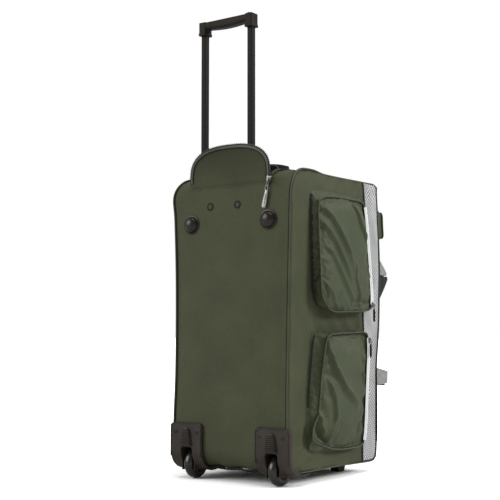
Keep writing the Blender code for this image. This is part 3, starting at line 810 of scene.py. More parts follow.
# Folds that fan out of the side's lower rear corner, and down its front band: (line of (Y, Z), height).
CORNER_FOLDS = (
    (((0.018, 0.040), (0.045, 0.085), (0.052, 0.160)), 0.0030),
    (((0.026, 0.036), (0.070, 0.060), (0.120, 0.066)), 0.0026),
    (((0.014, 0.052), (0.024, 0.110), (0.022, 0.190)), 0.0022),
    (((0.345, 0.690), (0.352, 0.640), (0.340, 0.560)), 0.0026),
    (((0.372, 0.670), (0.366, 0.600), (0.378, 0.540)), 0.0024),
    (((0.340, 0.300), (0.356, 0.220), (0.346, 0.140)), 0.0018),
)


def crease(p, q, line, width, height):
    """A standing fold along a bent line: a crisp ridge with a soft swell and a hollow on its lower side."""
    total = sum(math.dist(a, b) for a, b in zip(line, line[1:]))
    best, before = None, 0.0
    for (ax, ay), (bx, by) in zip(line, line[1:]):
        dx, dy = bx - ax, by - ay
        length = math.hypot(dx, dy)
        t = ((p - ax) * dx + (q - ay) * dy) / length**2
        held = clamp(t)
        gap = math.hypot(p - ax - dx * held, q - ay - dy * held)
        if best is None or gap < best[0]:
            across = ((p - ax) * dy - (q - ay) * dx) / length
            best = (gap, math.copysign(gap, across), (before + length * t) / total)
        before += length
    gap, across, along = best
    if gap > 9 * width:
        return 0.0
    fade = ease(-0.10, 0.12, along) * (1 - ease(0.66, 1.10, along))
    spread = width * mix(0.75, 1.5, clamp(along))
    crest = math.exp(-(math.hypot(gap, 0.3 * spread) - 0.3 * spread) / spread)
    swell = 0.35 * bell(gap, 0, 3.2 * spread)
    return fade * height * (0.95 * crest + swell - 0.35 * bell(across, 2.6 * spread, 1.5 * spread))


def side_x(side, y, z):
    """The side's surface between the back seam and the front edge."""
    start, stop = outline_y(z), front_y(z)
    v = clamp((y - start) / (stop - start))
    full = math.sin(math.pi * v) ** 0.7 if 0 < v < 1 else 0.0
    tall = ease(0.03, 0.16, z) * (1 - ease(0.60, 0.69, z))
    bulge = full * (0.002 + 0.0035 * tall)
    dent = -0.0022 * bell(v, 0.06, 0.03)
    soft = full * (0.0022 * waves(0, y, z * 0.7, 0.06, side) + 0.0008 * waves(0, y, z, 0.022, side * 3))
    folds = full * 0.0018 * math.sin((y * 0.9 + z * 0.6) * 120) * bell(z, 0.361, 0.05)
    folds += full * 0.0020 * math.sin((y - z * 0.8) * 100) * bell(z, 0.672, 0.022)
    folds += sum(crease(y, z, line, 0.0045, height) for line, height in CORNER_FOLDS)
    return side * (edge_x(side, z) + bulge + dent + soft + folds)


def side_strip(name, side, proud, start, stop, columns, finish, node):
    """Part of a side between two lines of Y, each a function of the height."""
    rows = [[(side_x(side, y, z) + side * proud, y, lift(y, z)) for y in evenly(start(z), stop(z), columns)]
            for z in side_rows()]
    strip = lattice(rows)
    piece(name, strip if side > 0 else flipped(strip), "shell", finish, closed=False,
          thickness=0.0020, lining="lining", subdivide=1, angle=0, replaces=(node,))


for name, side in SIDES.items():
    side_strip(f"side_{name}", side, 0.0, outline_y, lambda z: SEAM_Y, 44, "fabric", f"side_panel_{name}")
    side_strip(f"mesh_band_cover_{name}", side, 0.0004, lambda z: SEAM_Y, lambda z: front_y(z) - 0.0005, 12,
               "mesh_fabric", f"mesh_band_{name}")

# ---------------------------------------------------------------- seams, piping, binding and the painted shade beside the piping


def seam_path(side):
    """Round the side panel: under, up the back, over the top and down the front, as (point, outward)."""
    path, outward = [], []

    def add(y, z, ny, nz):
        path.append((side * edge_x(side, z), y, lift(y, z)))
        outward.append(Vector((side * 0.72, ny, nz)).normalized())

    for i in range(30):
        add(mix(FRONT_Y - 0.008, LOW_RADIUS, i / 29), BOTTOM_Z, 0, -0.7)
    for y, z in arc((LOW_RADIUS, BOTTOM_Z + LOW_RADIUS), LOW_RADIUS, 270, 180, 9)[1:]:
        turn = math.atan2(z - BOTTOM_Z - LOW_RADIUS, y - LOW_RADIUS)
        add(y, z, 0.7 * math.cos(turn), 0.7 * math.sin(turn))
    for i in range(1, 60):
        add(0.0, mix(BOTTOM_Z + LOW_RADIUS, TOP_Z - TOP_RADIUS, i / 60), -0.7, 0)
    for y, z in arc((TOP_RADIUS, TOP_Z - TOP_RADIUS), TOP_RADIUS, 180, 90, 12):
        turn = math.atan2(z - TOP_Z + TOP_RADIUS, y - TOP_RADIUS)
        add(y, z, 0.7 * math.cos(turn), 0.7 * math.sin(turn))
    for i in range(1, 36):
        add(mix(TOP_RADIUS, FRONT_Y - 0.008, i / 35), TOP_Z, 0, 0.7)
    return path, outward


def front_seam(side):
    path, outward = [], []
    for i in range(50):
        z = mix(TOP_Z - 0.006, BOTTOM_Z + 0.006, i / 49)
        path.append((side * edge_x(side, z), front_y(z), lift(front_y(z), z)))
        outward.append(Vector((side * 0.72, 0.7, 0)).normalized())
    return path, outward


for name, side in SIDES.items():
    path, outward = seam_path(side)
    down, down_outward = front_seam(side)
    path, outward = path + down, outward + down_outward
    cord = [Vector(p) + n * 0.0012 for p, n in zip(path, outward)]
    swept(f"side_piping_{name}", cord, outward, circle(0.0019), "shell", "piping", loop=True)
    # a dark strip under the piping: painted shade along both sides of the cord
    base = [Vector(p) - n * 0.0004 for p, n in zip(path, outward)]
    widths = [mix(0.0070, 0.0034, ease(0.10, 0.15, p.y) * ease(0.66, 0.68, p.z)) for p in base]
    swept(f"side_piping_shade_{name}", base, outward, lambda i, t: strap(widths[i], 0.0016), "shell", "binding",
          loop=True)
    seam = [(side_x(side, SEAM_Y, z) + side * 0.0009, SEAM_Y, lift(SEAM_Y, z)) for z in side_rows()]
    swept(f"band_seam_{name}", seam, (side, 0, 0), strap(0.0042, 0.0014), "shell", "binding")
    for label, y in (("rear", SEAM_Y - 0.0048), ("front", SEAM_Y + 0.0045)):
        row = [(side_x(side, y, z) + side * 0.0006, y, lift(y, z)) for z in side_rows()]
        piece(f"band_stitches_{label}_{name}", stitches(row, (side, 0, 0)), "shell", "thread")
    row = [(side_x(side, outline_y(z) + 0.0095, z) + side * 0.0002, outline_y(z) + 0.0095, lift(0.01, z))
           for z in side_rows() if 0.09 < z < 0.62]
    piece(f"seam_stitches_{name}", stitches(row, (side, 0, 0)), "shell", "thread")

row = [(x, 0.0260 + 0.0015 * math.sin(x * 160), 0.0282 + 0.0012 * math.sin(x * 95 + 1))
       for x in evenly(-0.074, 0.074, 60)]
swept("bottom_binding", row, (0, -0.5, -0.85), strap(0.0085, 0.0034), "shell", "binding")

# ---------------------------------------------------------------- side pockets

# A pocket's foot on the panel: its rear edge as (height share, Y), its front edge's Y and its Z range.
# Its face: X at the rear low, front low, rear high and front high corners, and its four edges.
POCKETS = {
    "upper": {
        "foot": (((0.0, 0.0990), (0.12, 0.0930), (0.50, 0.0800), (1.0, 0.0690)), 0.3190, (0.3890, 0.6560)),
        "x": (0.1890, 0.1885, 0.1840, 0.1700),
        "rear": ((0.0, 0.1200), (0.14, 0.0915), (0.40, 0.0865), (1.0, 0.0800)),
        "front": 0.3125,
        "low": ((0.0, 0.3800), (1.0, 0.3860)),
        "high": ((0.0, 0.6330), (0.3, 0.6420), (1.0, 0.6470)),
        "folds": ((((0.00, 0.98), (0.28, 0.73), (0.50, 0.52), (0.60, 0.36)), 0.016, 0.0075),
                  (((0.00, 0.82), (0.27, 0.56), (0.47, 0.34), (0.56, 0.18)), 0.015, 0.0065),
                  (((0.08, 0.58), (0.32, 0.34), (0.50, 0.13), (0.56, -0.05)), 0.016, 0.0055),
                  (((0.68, 0.97), (0.78, 0.78), (0.98, 0.54)), 0.011, 0.0060),
                  (((0.99, 0.50), (0.91, 0.40), (0.99, 0.22)), 0.011, 0.0050),
                  (((0.64, 0.44), (0.62, 0.30), (0.74, -0.02)), 0.014, 0.0045),
                  (((0.00, 0.30), (0.16, 0.16), (0.24, 0.00)), 0.016, 0.0030)),
    },
    "lower": {
        "foot": (((0.0, 0.0720), (0.40, 0.0690), (1.0, 0.0840)), 0.3025, (0.0640, 0.3390)),
        "x": (0.1745, 0.1730, 0.1885, 0.1870),
        "rear": ((0.0, 0.0640), (0.10, 0.0680), (0.24, 0.0880), (0.60, 0.0950), (1.0, 0.1080)),
        "front": 0.2960,
        "low": ((0.0, 0.0980), (0.16, 0.0880), (0.45, 0.0720), (1.0, 0.0680)),
        "high": ((0.0, 0.3290), (1.0, 0.3350)),
        "folds": ((((0.02, 1.00), (0.09, 0.84), (0.18, 0.70), (0.42, 0.53), (0.78, 0.38)), 0.017, 0.0085),
                  (((0.10, 0.58), (0.20, 0.42), (0.27, 0.26), (0.31, -0.10)), 0.015, 0.0070),
                  (((0.93, 0.84), (0.80, 0.64), (0.92, 0.52), (0.78, 0.36)), 0.011, 0.0050),
                  (((0.90, 0.34), (0.80, 0.22), (0.84, 0.02)), 0.012, 0.0040),
                  (((-0.02, 0.16), (0.12, 0.09), (0.34, 0.03)), 0.014, -0.0080),
                  (((-0.02, 0.26), (0.08, 0.16), (0.24, 0.09)), 0.012, 0.0060)),
    },
}
POCKET_CELLS, POCKET_STEPS = 50, 7
FINE_CELLS, FINE_STEPS = 100, 14


def pocket_rows(spec, surface, cells, steps, corner=0.10):
    """Rows of points over a pocket: its face in the middle and its gusset all round, down to the panel."""
    count = cells + 2 * steps
    inner = cells / count
    rear, y1, (z0, z1) = spec["foot"]
    rows = []
    for j in range(count + 1):
        row = []
        for i in range(count + 1):
            a, b = 2 * i / count - 1, 2 * j / count - 1
            reach = max(abs(a), abs(b), 1e-9)
            if reach <= inner + 1e-9:
                p, q, down = a / inner, b / inner, 0.0
            else:
                p, q, down = a / reach, b / reach, (reach - inner) / (1 - inner)
            p, q = p * math.sqrt(1 - corner * q**8), q * math.sqrt(1 - corner * p**8)
            u, v = (p + 1) / 2, (q + 1) / 2
            rear_low, front_low, rear_high, front_high = spec["x"]
            top = Vector((mix(mix(rear_low, front_low, u), mix(rear_high, front_high, u), v),
                          mix(follow(spec["rear"], v), spec["front"], u),
                          mix(follow(spec["low"], u), follow(spec["high"], u), v)))
            y, z = mix(follow(rear, v), y1, u), mix(z0, z1, v)
            row.append(top.lerp(Vector((surface(y, z) - 0.0012, y, z)), down))
        rows.append(row)
    return rows


def ring(rows, cells, steps):
    """The points of the face's edge, in order round the pocket."""
    low, high = steps, steps + cells
    loop = [rows[low][i] for i in range(low, high)]
    loop += [rows[j][high] for j in range(low, high)]
    loop += [rows[high][i] for i in range(high, low, -1)]
    loop += [rows[j][low] for j in range(high, low, -1)]
    return loop


def puffed(jobs, frames=20):
    """Inflates several pockets at once as cloth held at the panel.

    Each job is (rows, cells, steps, pressure, the furthest that a point may move).
    """
    held = []
    for rows, cells, steps, pressure, cap in jobs:
        obj = mesh_object("cloth", lattice(rows))
        count = cells + 2 * steps
        grip = obj.vertex_groups.new(name="held")
        for j in range(count + 1):
            for i in range(count + 1):
                depth = min(i, j, count - i, count - j)
                weight = 1.0 if depth <= 1 else 0.90 if depth == steps else 0.0
                if weight:
                    grip.add([j * (count + 1) + i], weight, "REPLACE")
        cloth = obj.modifiers.new("cloth", "CLOTH")
        setup = cloth.settings
        setup.quality, setup.mass = 6, 0.25
        setup.tension_stiffness = setup.compression_stiffness = 12
        setup.shear_stiffness, setup.bending_stiffness = 6, 0.35
        setup.vertex_group_mass, setup.pin_stiffness = "held", 1.0
        setup.use_pressure, setup.uniform_pressure_force = True, pressure
        setup.shrink_min = -0.035
        setup.effector_weights.gravity = 0.0
        cloth.collision_settings.use_collision = False
        cloth.point_cache.frame_start, cloth.point_cache.frame_end = 1, frames
        held.append(obj)
    for step in range(1, frames + 1):
        bpy.context.scene.frame_set(step)
    graph = bpy.context.evaluated_depsgraph_get()
    results = []
    for obj, (rows, cells, steps, pressure, cap) in zip(held, jobs):
        data = obj.evaluated_get(graph).to_mesh()
        width = len(rows[0])
        spots = [Vector(v.co) - Vector((0, BACK_Y, 0)) for v in data.vertices]
        result = []
        for j, row in enumerate(rows):
            fresh = []
            for i, point in enumerate(row):
                shift = spots[j * width + i] - point
                fresh.append(point + shift * min(1.0, cap / max(shift.length, 1e-9)))
            result.append(fresh)
        results.append(result)
    for obj in held:
        bpy.data.objects.remove(obj)
    bpy.context.scene.frame_set(1)
    return results


def refined(rows):
    """The same surface with twice as many cells each way, through a smooth curve."""

    def doubled(points):
        fresh = []
        for i, (b, c) in enumerate(zip(points, points[1:])):
            a, d = points[max(i - 1, 0)], points[min(i + 2, len(points) - 1)]
            fresh += [b, (b + c) * 0.5625 - (a + d) * 0.0625]
        return fresh + [points[-1]]

    along = [doubled(row) for row in rows]
    return [list(row) for row in zip(*[doubled(list(column)) for column in zip(*along)])]


def creased(rows, cells, steps, folds, direction, seed):
    """Adds the standing folds and small crumples to a pocket's face and gusset."""
    count = cells + 2 * steps
    result = []
    for j, row in enumerate(rows):
        fresh = []
        for i, point in enumerate(row):
            p, q = (i - steps) / cells, (j - steps) / cells
            depth = min(i, j, count - i, count - j)
            edge = clamp((depth - steps) / (cells * 0.04))
            kept = mix(0.25, 1.0, edge), 1 - 0.8 * ease(0.86, 1.0, p)
            rise = sum(crease(p, q, *fold) for fold in folds) * kept[0] * kept[1]
            rise += (0.0012 * waves(*point, 0.070, seed + 2) + 0.0004 * waves(*point, 0.026, seed)) * edge
            gusset = clamp(depth / steps * 3) * (1 - edge)
            crumple = Vector((0, waves(*point, 0.02, seed + 5), waves(*point, 0.02, seed + 9)))
            crumple = crumple * 0.0005 * gusset
            fresh.append(point + Vector(direction) * rise * clamp(depth / steps * 2) + crumple)
        result.append(fresh)
    return result


FRONT_POCKET = {
    "foot": (((0.0, 0.0200), (1.0, 0.0200)), 0.1545, (0.5440, 0.6540)),
    "x": (0.4400, 0.4400, 0.4340, 0.4340),
    "rear": ((0.0, 0.0330), (1.0, 0.0330)),
    "front": 0.1510,
    "low": ((0.0, 0.5700), (1.0, 0.5700)),
    "high": ((0.0, 0.6330), (1.0, 0.6330)),
    "folds": ((((0.05, 0.95), (0.45, 0.50)), 0.030, 0.0030), (((0.95, 0.90), (0.60, 0.45)), 0.030, 0.0028)),
}
FRONT_CELLS, FRONT_STEPS = 22, 7


shapes = {level: pocket_rows(spec, lambda y, z: side_x(1, y, z), POCKET_CELLS, POCKET_STEPS)
          for level, spec in POCKETS.items()}
# Built like a side pocket, facing +X, and turned to face forwards below.
shapes["front"] = pocket_rows(FRONT_POCKET, lambda y, z: FRONT_Y + 0.0006, FRONT_CELLS, FRONT_STEPS)
jobs = [(shapes["upper"], POCKET_CELLS, POCKET_STEPS, 3.0, 0.012),
        (shapes["lower"], POCKET_CELLS, POCKET_STEPS, 2.2, 0.012),
        (shapes["front"], FRONT_CELLS, FRONT_STEPS, 3.0, 0.006)]
shapes.update(zip(("upper", "lower", "front"), puffed(jobs)))
for level, spec in POCKETS.items():
    shapes[level] = creased(refined(shapes[level]), FINE_CELLS, FINE_STEPS, spec["folds"], (1, 0, 0),
                            len(level))
shapes["front"] = creased(shapes["front"], FRONT_CELLS, FRONT_STEPS, FRONT_POCKET["folds"], (1, 0, 0), 3.0)
shapes["front"] = [[Vector((y, x, z)) for x, y, z in row] for row in shapes["front"]]


def pocket_pieces(prefix, name, side, rows, cells, steps, body, node, out):
    """The puffed shell, the piping round its face with a thin dark cord inside it, painted shade in the
    seam's groove, and the seam at its foot.
    """
    cover = piece(f"{prefix}_{name}", handed(lattice(rows), side), body, "fabric_gloss",
                  closed=False, angle=0, replaces=(node,))
    turned_out_towards(cover, Vector((out[0] * side, out[1], 0)))
    loop = ring(rows, cells, steps)
    centre = sum(loop, Vector()) / len(loop)
    normals = [((p - centre).normalized() * 0.8 + Vector(out)).normalized() for p in loop]
    cord = [p + n * 0.0014 for p, n in zip(loop, normals)]
    swept(f"{prefix}_piping_{name}", cord, normals, circle(0.0021, 8), body, "piping", side=side, loop=True)
    # a thin dark cord inside the piping: painted shade in the seam's groove
    groove_shade = [p - (p - centre).normalized() * 0.0026 + Vector(out) * 0.0004 for p in loop]
    swept(f"{prefix}_groove_{name}", groove_shade, normals, circle(0.0009, 6), body, "binding", side=side,
          loop=True)
    foot = ring(rows, cells + 2 * steps - 2, 1)
    swept(f"{prefix}_foot_{name}", foot, out, strap(0.0030, 0.0012), body, "fabric", side=side, loop=True)


def turned_out_towards(obj, out):
    """Flips an open surface whose middle faces away from this direction."""
    total = sum((p.normal * p.area for p in obj.data.polygons), Vector())
    if total.dot(out) < 0:
        obj.data.flip_normals()


for name, side in SIDES.items():
    for level in POCKETS:
        pocket_pieces(f"side_pocket_{level}_cover", name, side, shapes[level], FINE_CELLS, FINE_STEPS,
                      "shell", f"side_pocket_{level}_{name}", (1, 0, 0))

# dark tapered strips down each side pocket's rear gusset: painted shade under the pocket's overhang
for name, side in SIDES.items():
    for level, (reach, width) in {"upper": (0.0, 0.0085), "lower": (0.36, 0.0050)}.items():
        column = [row[3] for row in shapes[level][4:-4]]
        column = column[int(len(column) * reach):]
        out = Vector((0.75, -0.65, 0))

        def tapered(i, t):
            return strap(width * mix(0.3, 1.0, math.sin(math.pi * mix(0.06, 0.94, t)) ** 0.4), 0.0012)

        swept(f"side_pocket_{level}_seam_{name}", [p + out * 0.0006 for p in column], out, tapered, "shell",
              "binding", side=side)

# ---------------------------------------------------------------- zips of the side pockets


def zip_line(level):
    """The zip runs down the front edge of the pocket's face, on top of it."""
    column = FINE_STEPS + FINE_CELLS
    edge = [row[column] for row in shapes[level][FINE_STEPS - 2:FINE_STEPS + FINE_CELLS + 3]]
    smooth = []
    for i, p in enumerate(edge):
        near = edge[max(i - 9, 0):i + 10]
        smooth.append(sum(near, Vector()) / len(near))
    return [p + Vector((0.0032, 0.0026, 0)) for p in smooth]


for name, side in SIDES.items():
    for level in POCKETS:
        line = zip_line(level)
        out = Vector((1.0, 0.0, 0.0))
        swept(f"zip_tape_{level}_{name}", line, out, strap(0.0124, 0.0013), "shell", "zip_tape",
              side=side)
        front = POCKETS[level]["foot"][1]
        lip = [[p + Vector((-0.0002, 0.0040, 0)), Vector((p.x - 0.010, mix(p.y, front, 0.6) + 0.004, p.z)),
                Vector((side_x(1, front, p.z) - 0.001, front + 0.0005, p.z))] for p in line]
        lip = piece(f"zip_lip_{level}_{name}", handed(lattice(lip), side), "shell", "dark_tape",
                    closed=False, angle=0)
        turned_out_towards(lip, FORWARD)
        teeth = zip_teeth([p + out * 0.0006 for p in line], out)
        piece(f"zip_teeth_{level}_{name}", handed(teeth, side), "shell", "zip_tape", smooth=False)


def slider_mesh(centre, along, out, length=0.0135, width=0.0076, height=0.0040):
    """A zip slider: two plates narrow at one end, a post between them and an arched bridge on top."""
    along, out = Vector(along).normalized(), Vector(out).normalized()
    side = along.cross(out)
    centre = Vector(centre)

    def slab(low, high, outline):
        points = [centre + side * a + along * b + out * h for h in (low, high) for a, b in outline]
        return points, prism_faces(len(outline))

    half, long = width / 2, length / 2
    shield = [(-half * 0.55, -long), (half * 0.55, -long), (half * 0.72, -long * 0.1), (half, long * 0.55),
              (half * 0.8, long), (half * 0.25, long * 0.86), (-half * 0.25, long * 0.86),
              (-half * 0.8, long), (-half, long * 0.55), (-half * 0.72, -long * 0.1)]
    plate = slab(height * 0.35, height * 0.62, shield)
    under = slab(-height * 0.30, -height * 0.05, shield)
    post = slab(-height * 0.05, height * 0.35, [(-half * 0.2, long * 0.3), (half * 0.2, long * 0.3),
                                                (half * 0.2, long * 0.8), (-half * 0.2, long * 0.8)])
    arch = ((-0.72, 0.5), (-0.62, 0.95), (-0.2, 1.12), (0.35, 1.05), (0.55, 0.5))
    bridge = [centre + along * (long * b) + out * (height * h) for b, h in arch]
    return joined(plate, under, post, sweep(bridge, out, rounded(width * 0.34, height * 0.24, height * 0.1)))


def loop_path(centre, along, side, length, width):
    centre, along, side = Vector(centre), Vector(along), Vector(side)
    return [centre + side * (width / 2 * math.cos(t)) + along * (length / 2 * math.sin(t))
            for t in [math.tau * i / 20 for i in range(20)]]


def centre_of(node):
    """The middle of a CAD node's box, in bag coordinates."""
    low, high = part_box(node)
    return (Vector(low) + Vector(high)) / 2 - Vector((0, BACK_Y, 0))


def span_of(node):
    """The low and high corners of a CAD node's box, in bag coordinates."""
    low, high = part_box(node)
    return Vector(low) - Vector((0, BACK_Y, 0)), Vector(high) - Vector((0, BACK_Y, 0))


for name, side in SIDES.items():
    for level in POCKETS:
        middle = centre_of(f"zip_slider_{level}_{name}")
        lean = (POCKETS[level]["x"][3] - POCKETS[level]["x"][1]) / 0.25
        along = Vector((side * lean, 0, 1)).normalized()
        out = Vector((side * 0.80, 0.60, 0))
        spot = min(zip_line(level), key=lambda p: abs(p.z - middle.z))
        spot = Vector((side * (spot.x + 0.0014), spot.y + 0.0008, middle.z))
        piece(f"side_slider_{level}_{name}", slider_mesh(spot, along, out), f"zip_slider_{level}_{name}",
              "nickel", bevel=0.0003, replaces=(f"zip_slider_{level}_{name}",))
        low, high = span_of(f"zip_pull_{level}_{name}")
        x, y = side * (abs(spot.x) + 0.0030), spot.y + 0.0020
        bail = loop_path((x, y, high.z - 0.0050), (0, 0, 1), (1, 0, 0), 0.0105, 0.0058)
        pull = f"zip_pull_{level}_{name}"
        swept(f"side_pull_bail_{level}_{name}", bail, FORWARD, circle(0.0007, 6), pull, "nickel",
              loop=True, angle=40)
        tab_path = [(x, y + 0.0004 * math.sin(i * 0.6), mix(high.z - 0.0090, low.z, i / 8)) for i in range(9)]
        widths = (0.55, 0.85, 1.0, 1.0, 1.0, 1.0, 1.0, 0.95, 0.7)
        swept(f"side_pull_tab_{level}_{name}", tab_path, FORWARD,
              lambda i, t: rounded(0.0056 * widths[i], 0.0020, 0.0008, 2), pull, "black_plastic",
              angle=50, replaces=(pull,))

# ---------------------------------------------------------------- stow flap and the rim of its opening

FLAP_Y = -0.0020


def flap_half_width(z):
    """The arch: straight sides, then a squarish curve over the top."""
    if z <= FLAP_SPRING_Z:
        return FLAP_HALF + 0.0015 * ease(FOLD_Z, FLAP_SPRING_Z, z)
    rise = clamp((z - FLAP_SPRING_Z) / (FLAP_TOP - FLAP_SPRING_Z))
    return (FLAP_HALF + 0.0015) * max(1 - rise**FLAP_SQUARENESS, 0.0) ** (1 / FLAP_SQUARENESS)


def flap_y(x, z):
    soft = ease(FOLD_Z, FOLD_Z + 0.03, z)
    sunk = 0.0065 * (1 - ease(FOLD_Z - 0.0115, FOLD_Z - 0.0005, z))
    belly = 0.0009 * waves(x, 0, z, 0.05, 2.0) - 0.0012 * math.cos(x / FLAP_HALF * 1.4)
    return FLAP_Y + sunk + soft * belly


def flap_outline(inset=0.0):
    """The arch as points from the left foot over the top to the right foot."""
    rises = [0.0, 0.3, 0.5, 0.65, 0.76, 0.84, 0.90, 0.94, 0.97, 0.985, 0.995]
    right = [(flap_half_width(FOLD_Z + 0.004 * i), FOLD_Z + 0.004 * i) for i in range(1, 5)]
    right += [(flap_half_width(z), z) for z in [mix(FLAP_SPRING_Z, FLAP_TOP, r) for r in rises]]
    left = [(-x, z) for x, z in right]
    path = even([(x, 0, z) for x, z in left + [(0, FLAP_TOP)] + right[::-1]], 0.004)
    result = []
    for i, p in enumerate(path):
        along = (path[min(i + 1, len(path) - 1)] - path[max(i - 1, 0)]).normalized()
        inward = Vector((along.z, 0, -along.x))
        spot = p + inward * inset
        result.append(Vector((spot.x, flap_y(spot.x, spot.z), spot.z)))
    return result


rows = []
for t in evenly(0, 1, 34):
    z = mix(0.6605, FLAP_TOP - 0.0004, 1 - (1 - t) ** 1.6)
    half = max(flap_half_width(z) - 0.0012, 0.004) if z > FOLD_Z else FLAP_HALF - 0.0012
    rows.append([(x, flap_y(x, z), z) for x in evenly(-half, half, 40)])
flap = mesh_object("flap_cover", lattice(rows))
flap.data.materials.append(MATERIALS["flap_fabric"])
turned_out_towards(flap, REARWARD)
thickened(flap, SHEET, offset=0.0)
softened(flap, 1)
freeze(flap)
flap.data.shade_smooth()
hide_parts("stow_flap")
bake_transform(flap)

arch = flap_outline(0.0040)
for label, offset in (("outer", -0.0015), ("inner", 0.0015)):
    face = [p + Vector((0, offset, 0)) for p in arch]
    swept(f"flap_rim_{label}", face, REARWARD, strap(0.0052, 0.0014), "stow_flap", "rim_tape")
inner_line = [p + Vector((0, -0.0016, 0)) for p in flap_outline(0.0080)]
swept("flap_rim_line", inner_line, REARWARD, circle(0.0015, 6), "stow_flap", "binding", angle=40)
swept("flap_rim_bead", flap_outline(0.0002), REARWARD, circle(0.0019, 8), "stow_flap", "binding", angle=40)
row = [p + Vector((0, -0.0024, 0)) for p in flap_outline(0.0062)]
piece("flap_rim_stitches", stitches(row, REARWARD), "stow_flap", "thread")
piece("flap_rim_teeth", zip_teeth(flap_outline(-0.0012), REARWARD), "stow_flap", "rim_tape",
      smooth=False)
row = [(x, -0.0010, 0.6625) for x in evenly(-0.147, 0.147, 60)]
piece("fold_stitches", stitches(row, REARWARD), "shell", "thread")


def rim_path(grow=0.0):
    """Round the opening from the left hinge corner, back along the side and across, to the right corner."""
    right = []
    for i in range(12):
        turn = mix(0.02, math.acos(1 - 0.020 / 0.062), i / 11)
        y, z = 0.062 * (1 - math.cos(turn)), FOLD_Z + 0.027 * math.sin(turn)
        x = mix(TONGUE_X - 0.0045, TONGUE_X + grow, ease(0, 8, i))
        right.append(((x, y, z), Vector((0.25, -math.cos(turn), 0.15 + math.sin(turn)))))
    for i in range(1, 30):
        x = TONGUE_X * math.cos(math.pi / 2 * i / 29)
        y = rim_y(x)
        turn = math.acos(clamp(1 - y / 0.062, 0, 1))
        z = FOLD_Z + 0.027 * math.sin(turn) if y < 0.060 else TOP_Z
        z = mix(z, lift(y, TOP_Z) + top_crown(x, y), ease(0.03, 0.06, y))
        reach = 1 + grow / 0.07
        right.append(((x * reach, y * reach, z), Vector((0.1, -0.25, 1.0))))
    left = [((-p[0], p[1], p[2]), Vector((-n.x, n.y, n.z))) for p, n in right]
    loop = left + right[::-1][1:]
    return [Vector(p) for p, n in loop], [n.normalized() for p, n in loop]


path, normals = rim_path(0.0022)
swept("stow_rim_tape", [p + n * 0.0016 for p, n in zip(path, normals)], normals, strap(0.0072, 0.0016),
      "shell", "rim_tape")
path, normals = rim_path(0.0062)
swept("stow_rim_edge", [p + n * 0.0018 for p, n in zip(path, normals)], normals, circle(0.0011, 6), "shell",
      "dark_tape", angle=40)
path, normals = rim_path(-0.0010)
piece("stow_rim_teeth", zip_teeth([p + n * 0.0018 for p, n in zip(path, normals)],
                                  lambda t: normals[round(t * (len(normals) - 1))]),
      "shell", "rim_tape", smooth=False)
# a standing lip down each leg of the opening, in dark tape: its dark is painted shade of the opening, under a
# light bead along its edge
for name, side in SIDES.items():
    lip = []
    for x in evenly(0.1115, 0.0200, 24):
        y = rim_y(x)
        foot = Vector((x, y, mix(0.6925, lift(y, TOP_Z) + top_crown(x, y), ease(0.030, 0.062, y))))
        lip.append([foot, foot + Vector((0, -0.0015, 0.0080 * ease(0.0, 0.030, 0.1115 - x)))])
    edge = [row[1] for row in lip]
    piece(f"stow_lip_{name}", handed(lattice(lip), side), "shell", "dark_tape", closed=False,
          thickness=0.0012, angle=0)
    swept(f"stow_lip_edge_{name}", edge, (0, -0.8, 0.6), circle(0.0016, 8), "shell", "rim_tape", side=side)
well = []
path, normals = rim_path(0.0)
for depth in (0.0, 0.006, 0.014, 0.024, 0.036):
    well.append([(p.x, max(p.y, 0.0045), max(p.z - depth - 0.0006, 0.6690)) for p in path])
piece("stow_well", lattice(well), "shell", "lining", closed=False, thickness=0.0012, angle=0)

middle = centre_of("flap_zip_slider") + Vector((0.0072, -0.0006, 0.0070))
piece("flap_slider_body", slider_mesh(middle, (0.30, 0, 1), REARWARD, 0.0215, 0.0124, 0.0050), "shell",
      "nickel", bevel=0.0003, replaces=("flap_zip_slider",))
low, high = span_of("flap_zip_pull")
x, y = (low.x + high.x) / 2 + 0.0036, (low.y + high.y) / 2
bail = loop_path((x - 0.0004, y, high.z - 0.0055), (0.1, 0, 1), (1, 0, 0), 0.0130, 0.0076)
swept("flap_pull_bail", bail, FORWARD, circle(0.0010, 6), "flap_zip_pull", "nickel", loop=True,
      angle=40)
pull_line = [(x - 0.0088 * t, y, mix(high.z - 0.0100, low.z - 0.0010, t)) for t in evenly(0, 1, 10)]
shape = (0.62, 0.70, 0.76, 0.82, 0.88, 0.93, 0.97, 1.0, 1.0, 0.98, 0.84)
swept("flap_pull_tab", pull_line, FORWARD, lambda i, t: rounded(0.0112 * shape[i], 0.0018, 0.0007, 2),
      "flap_zip_pull", "steel", angle=50, replaces=("flap_zip_pull",))
ridge = [Vector(p) + Vector((0, -0.0010, 0)) for p in pull_line[2:9]]
swept("flap_pull_ridge", ridge, FORWARD, rounded(0.0026, 0.0009, 0.0003, 2), "flap_zip_pull", "nickel",
      angle=40)

# ---------------------------------------------------------------- trolley handle

for name in SIDES:
    low, high = span_of(f"inner_tube_{name}")
    path = [((low.x + high.x) / 2, (low.y + high.y) / 2, z) for z in evenly(low.z, high.z - 0.010, 6)]
    swept(f"handle_tube_{name}", path, FORWARD, rounded(high.x - low.x, high.y - low.y, 0.0013),
          "trolley_handle", "tube_metal", angle=50, replaces=(f"inner_tube_{name}",))

low, high = span_of("grip")
middle = centre_of("inner_tube_right")
handle_x = (low.x + high.x) / 2
half_reach = (high.x - low.x) / 2
tube_reach = middle.x - handle_x
bar_y, bar_depth = (low.y + high.y) / 2, high.y - low.y
BAR_BOTTOM = 1.0420
BAR_STEPS = 24


def bar_row(t):
    """The bar's section at a share of its length: deeper in the middle, and rounded to the palm."""
    x = handle_x + mix(-1, 1, t) * (half_reach - 0.0045)
    bottom, top = BAR_BOTTOM - 0.0055 * (1 - (2 * t - 1) ** 2) ** 1.5, high.z - 0.0004
    section = rounded(bar_depth * 0.90, top - bottom, 0.0062, 4)
    return [(x, bar_y + a, b + (bottom + top) / 2) for a, b in section]


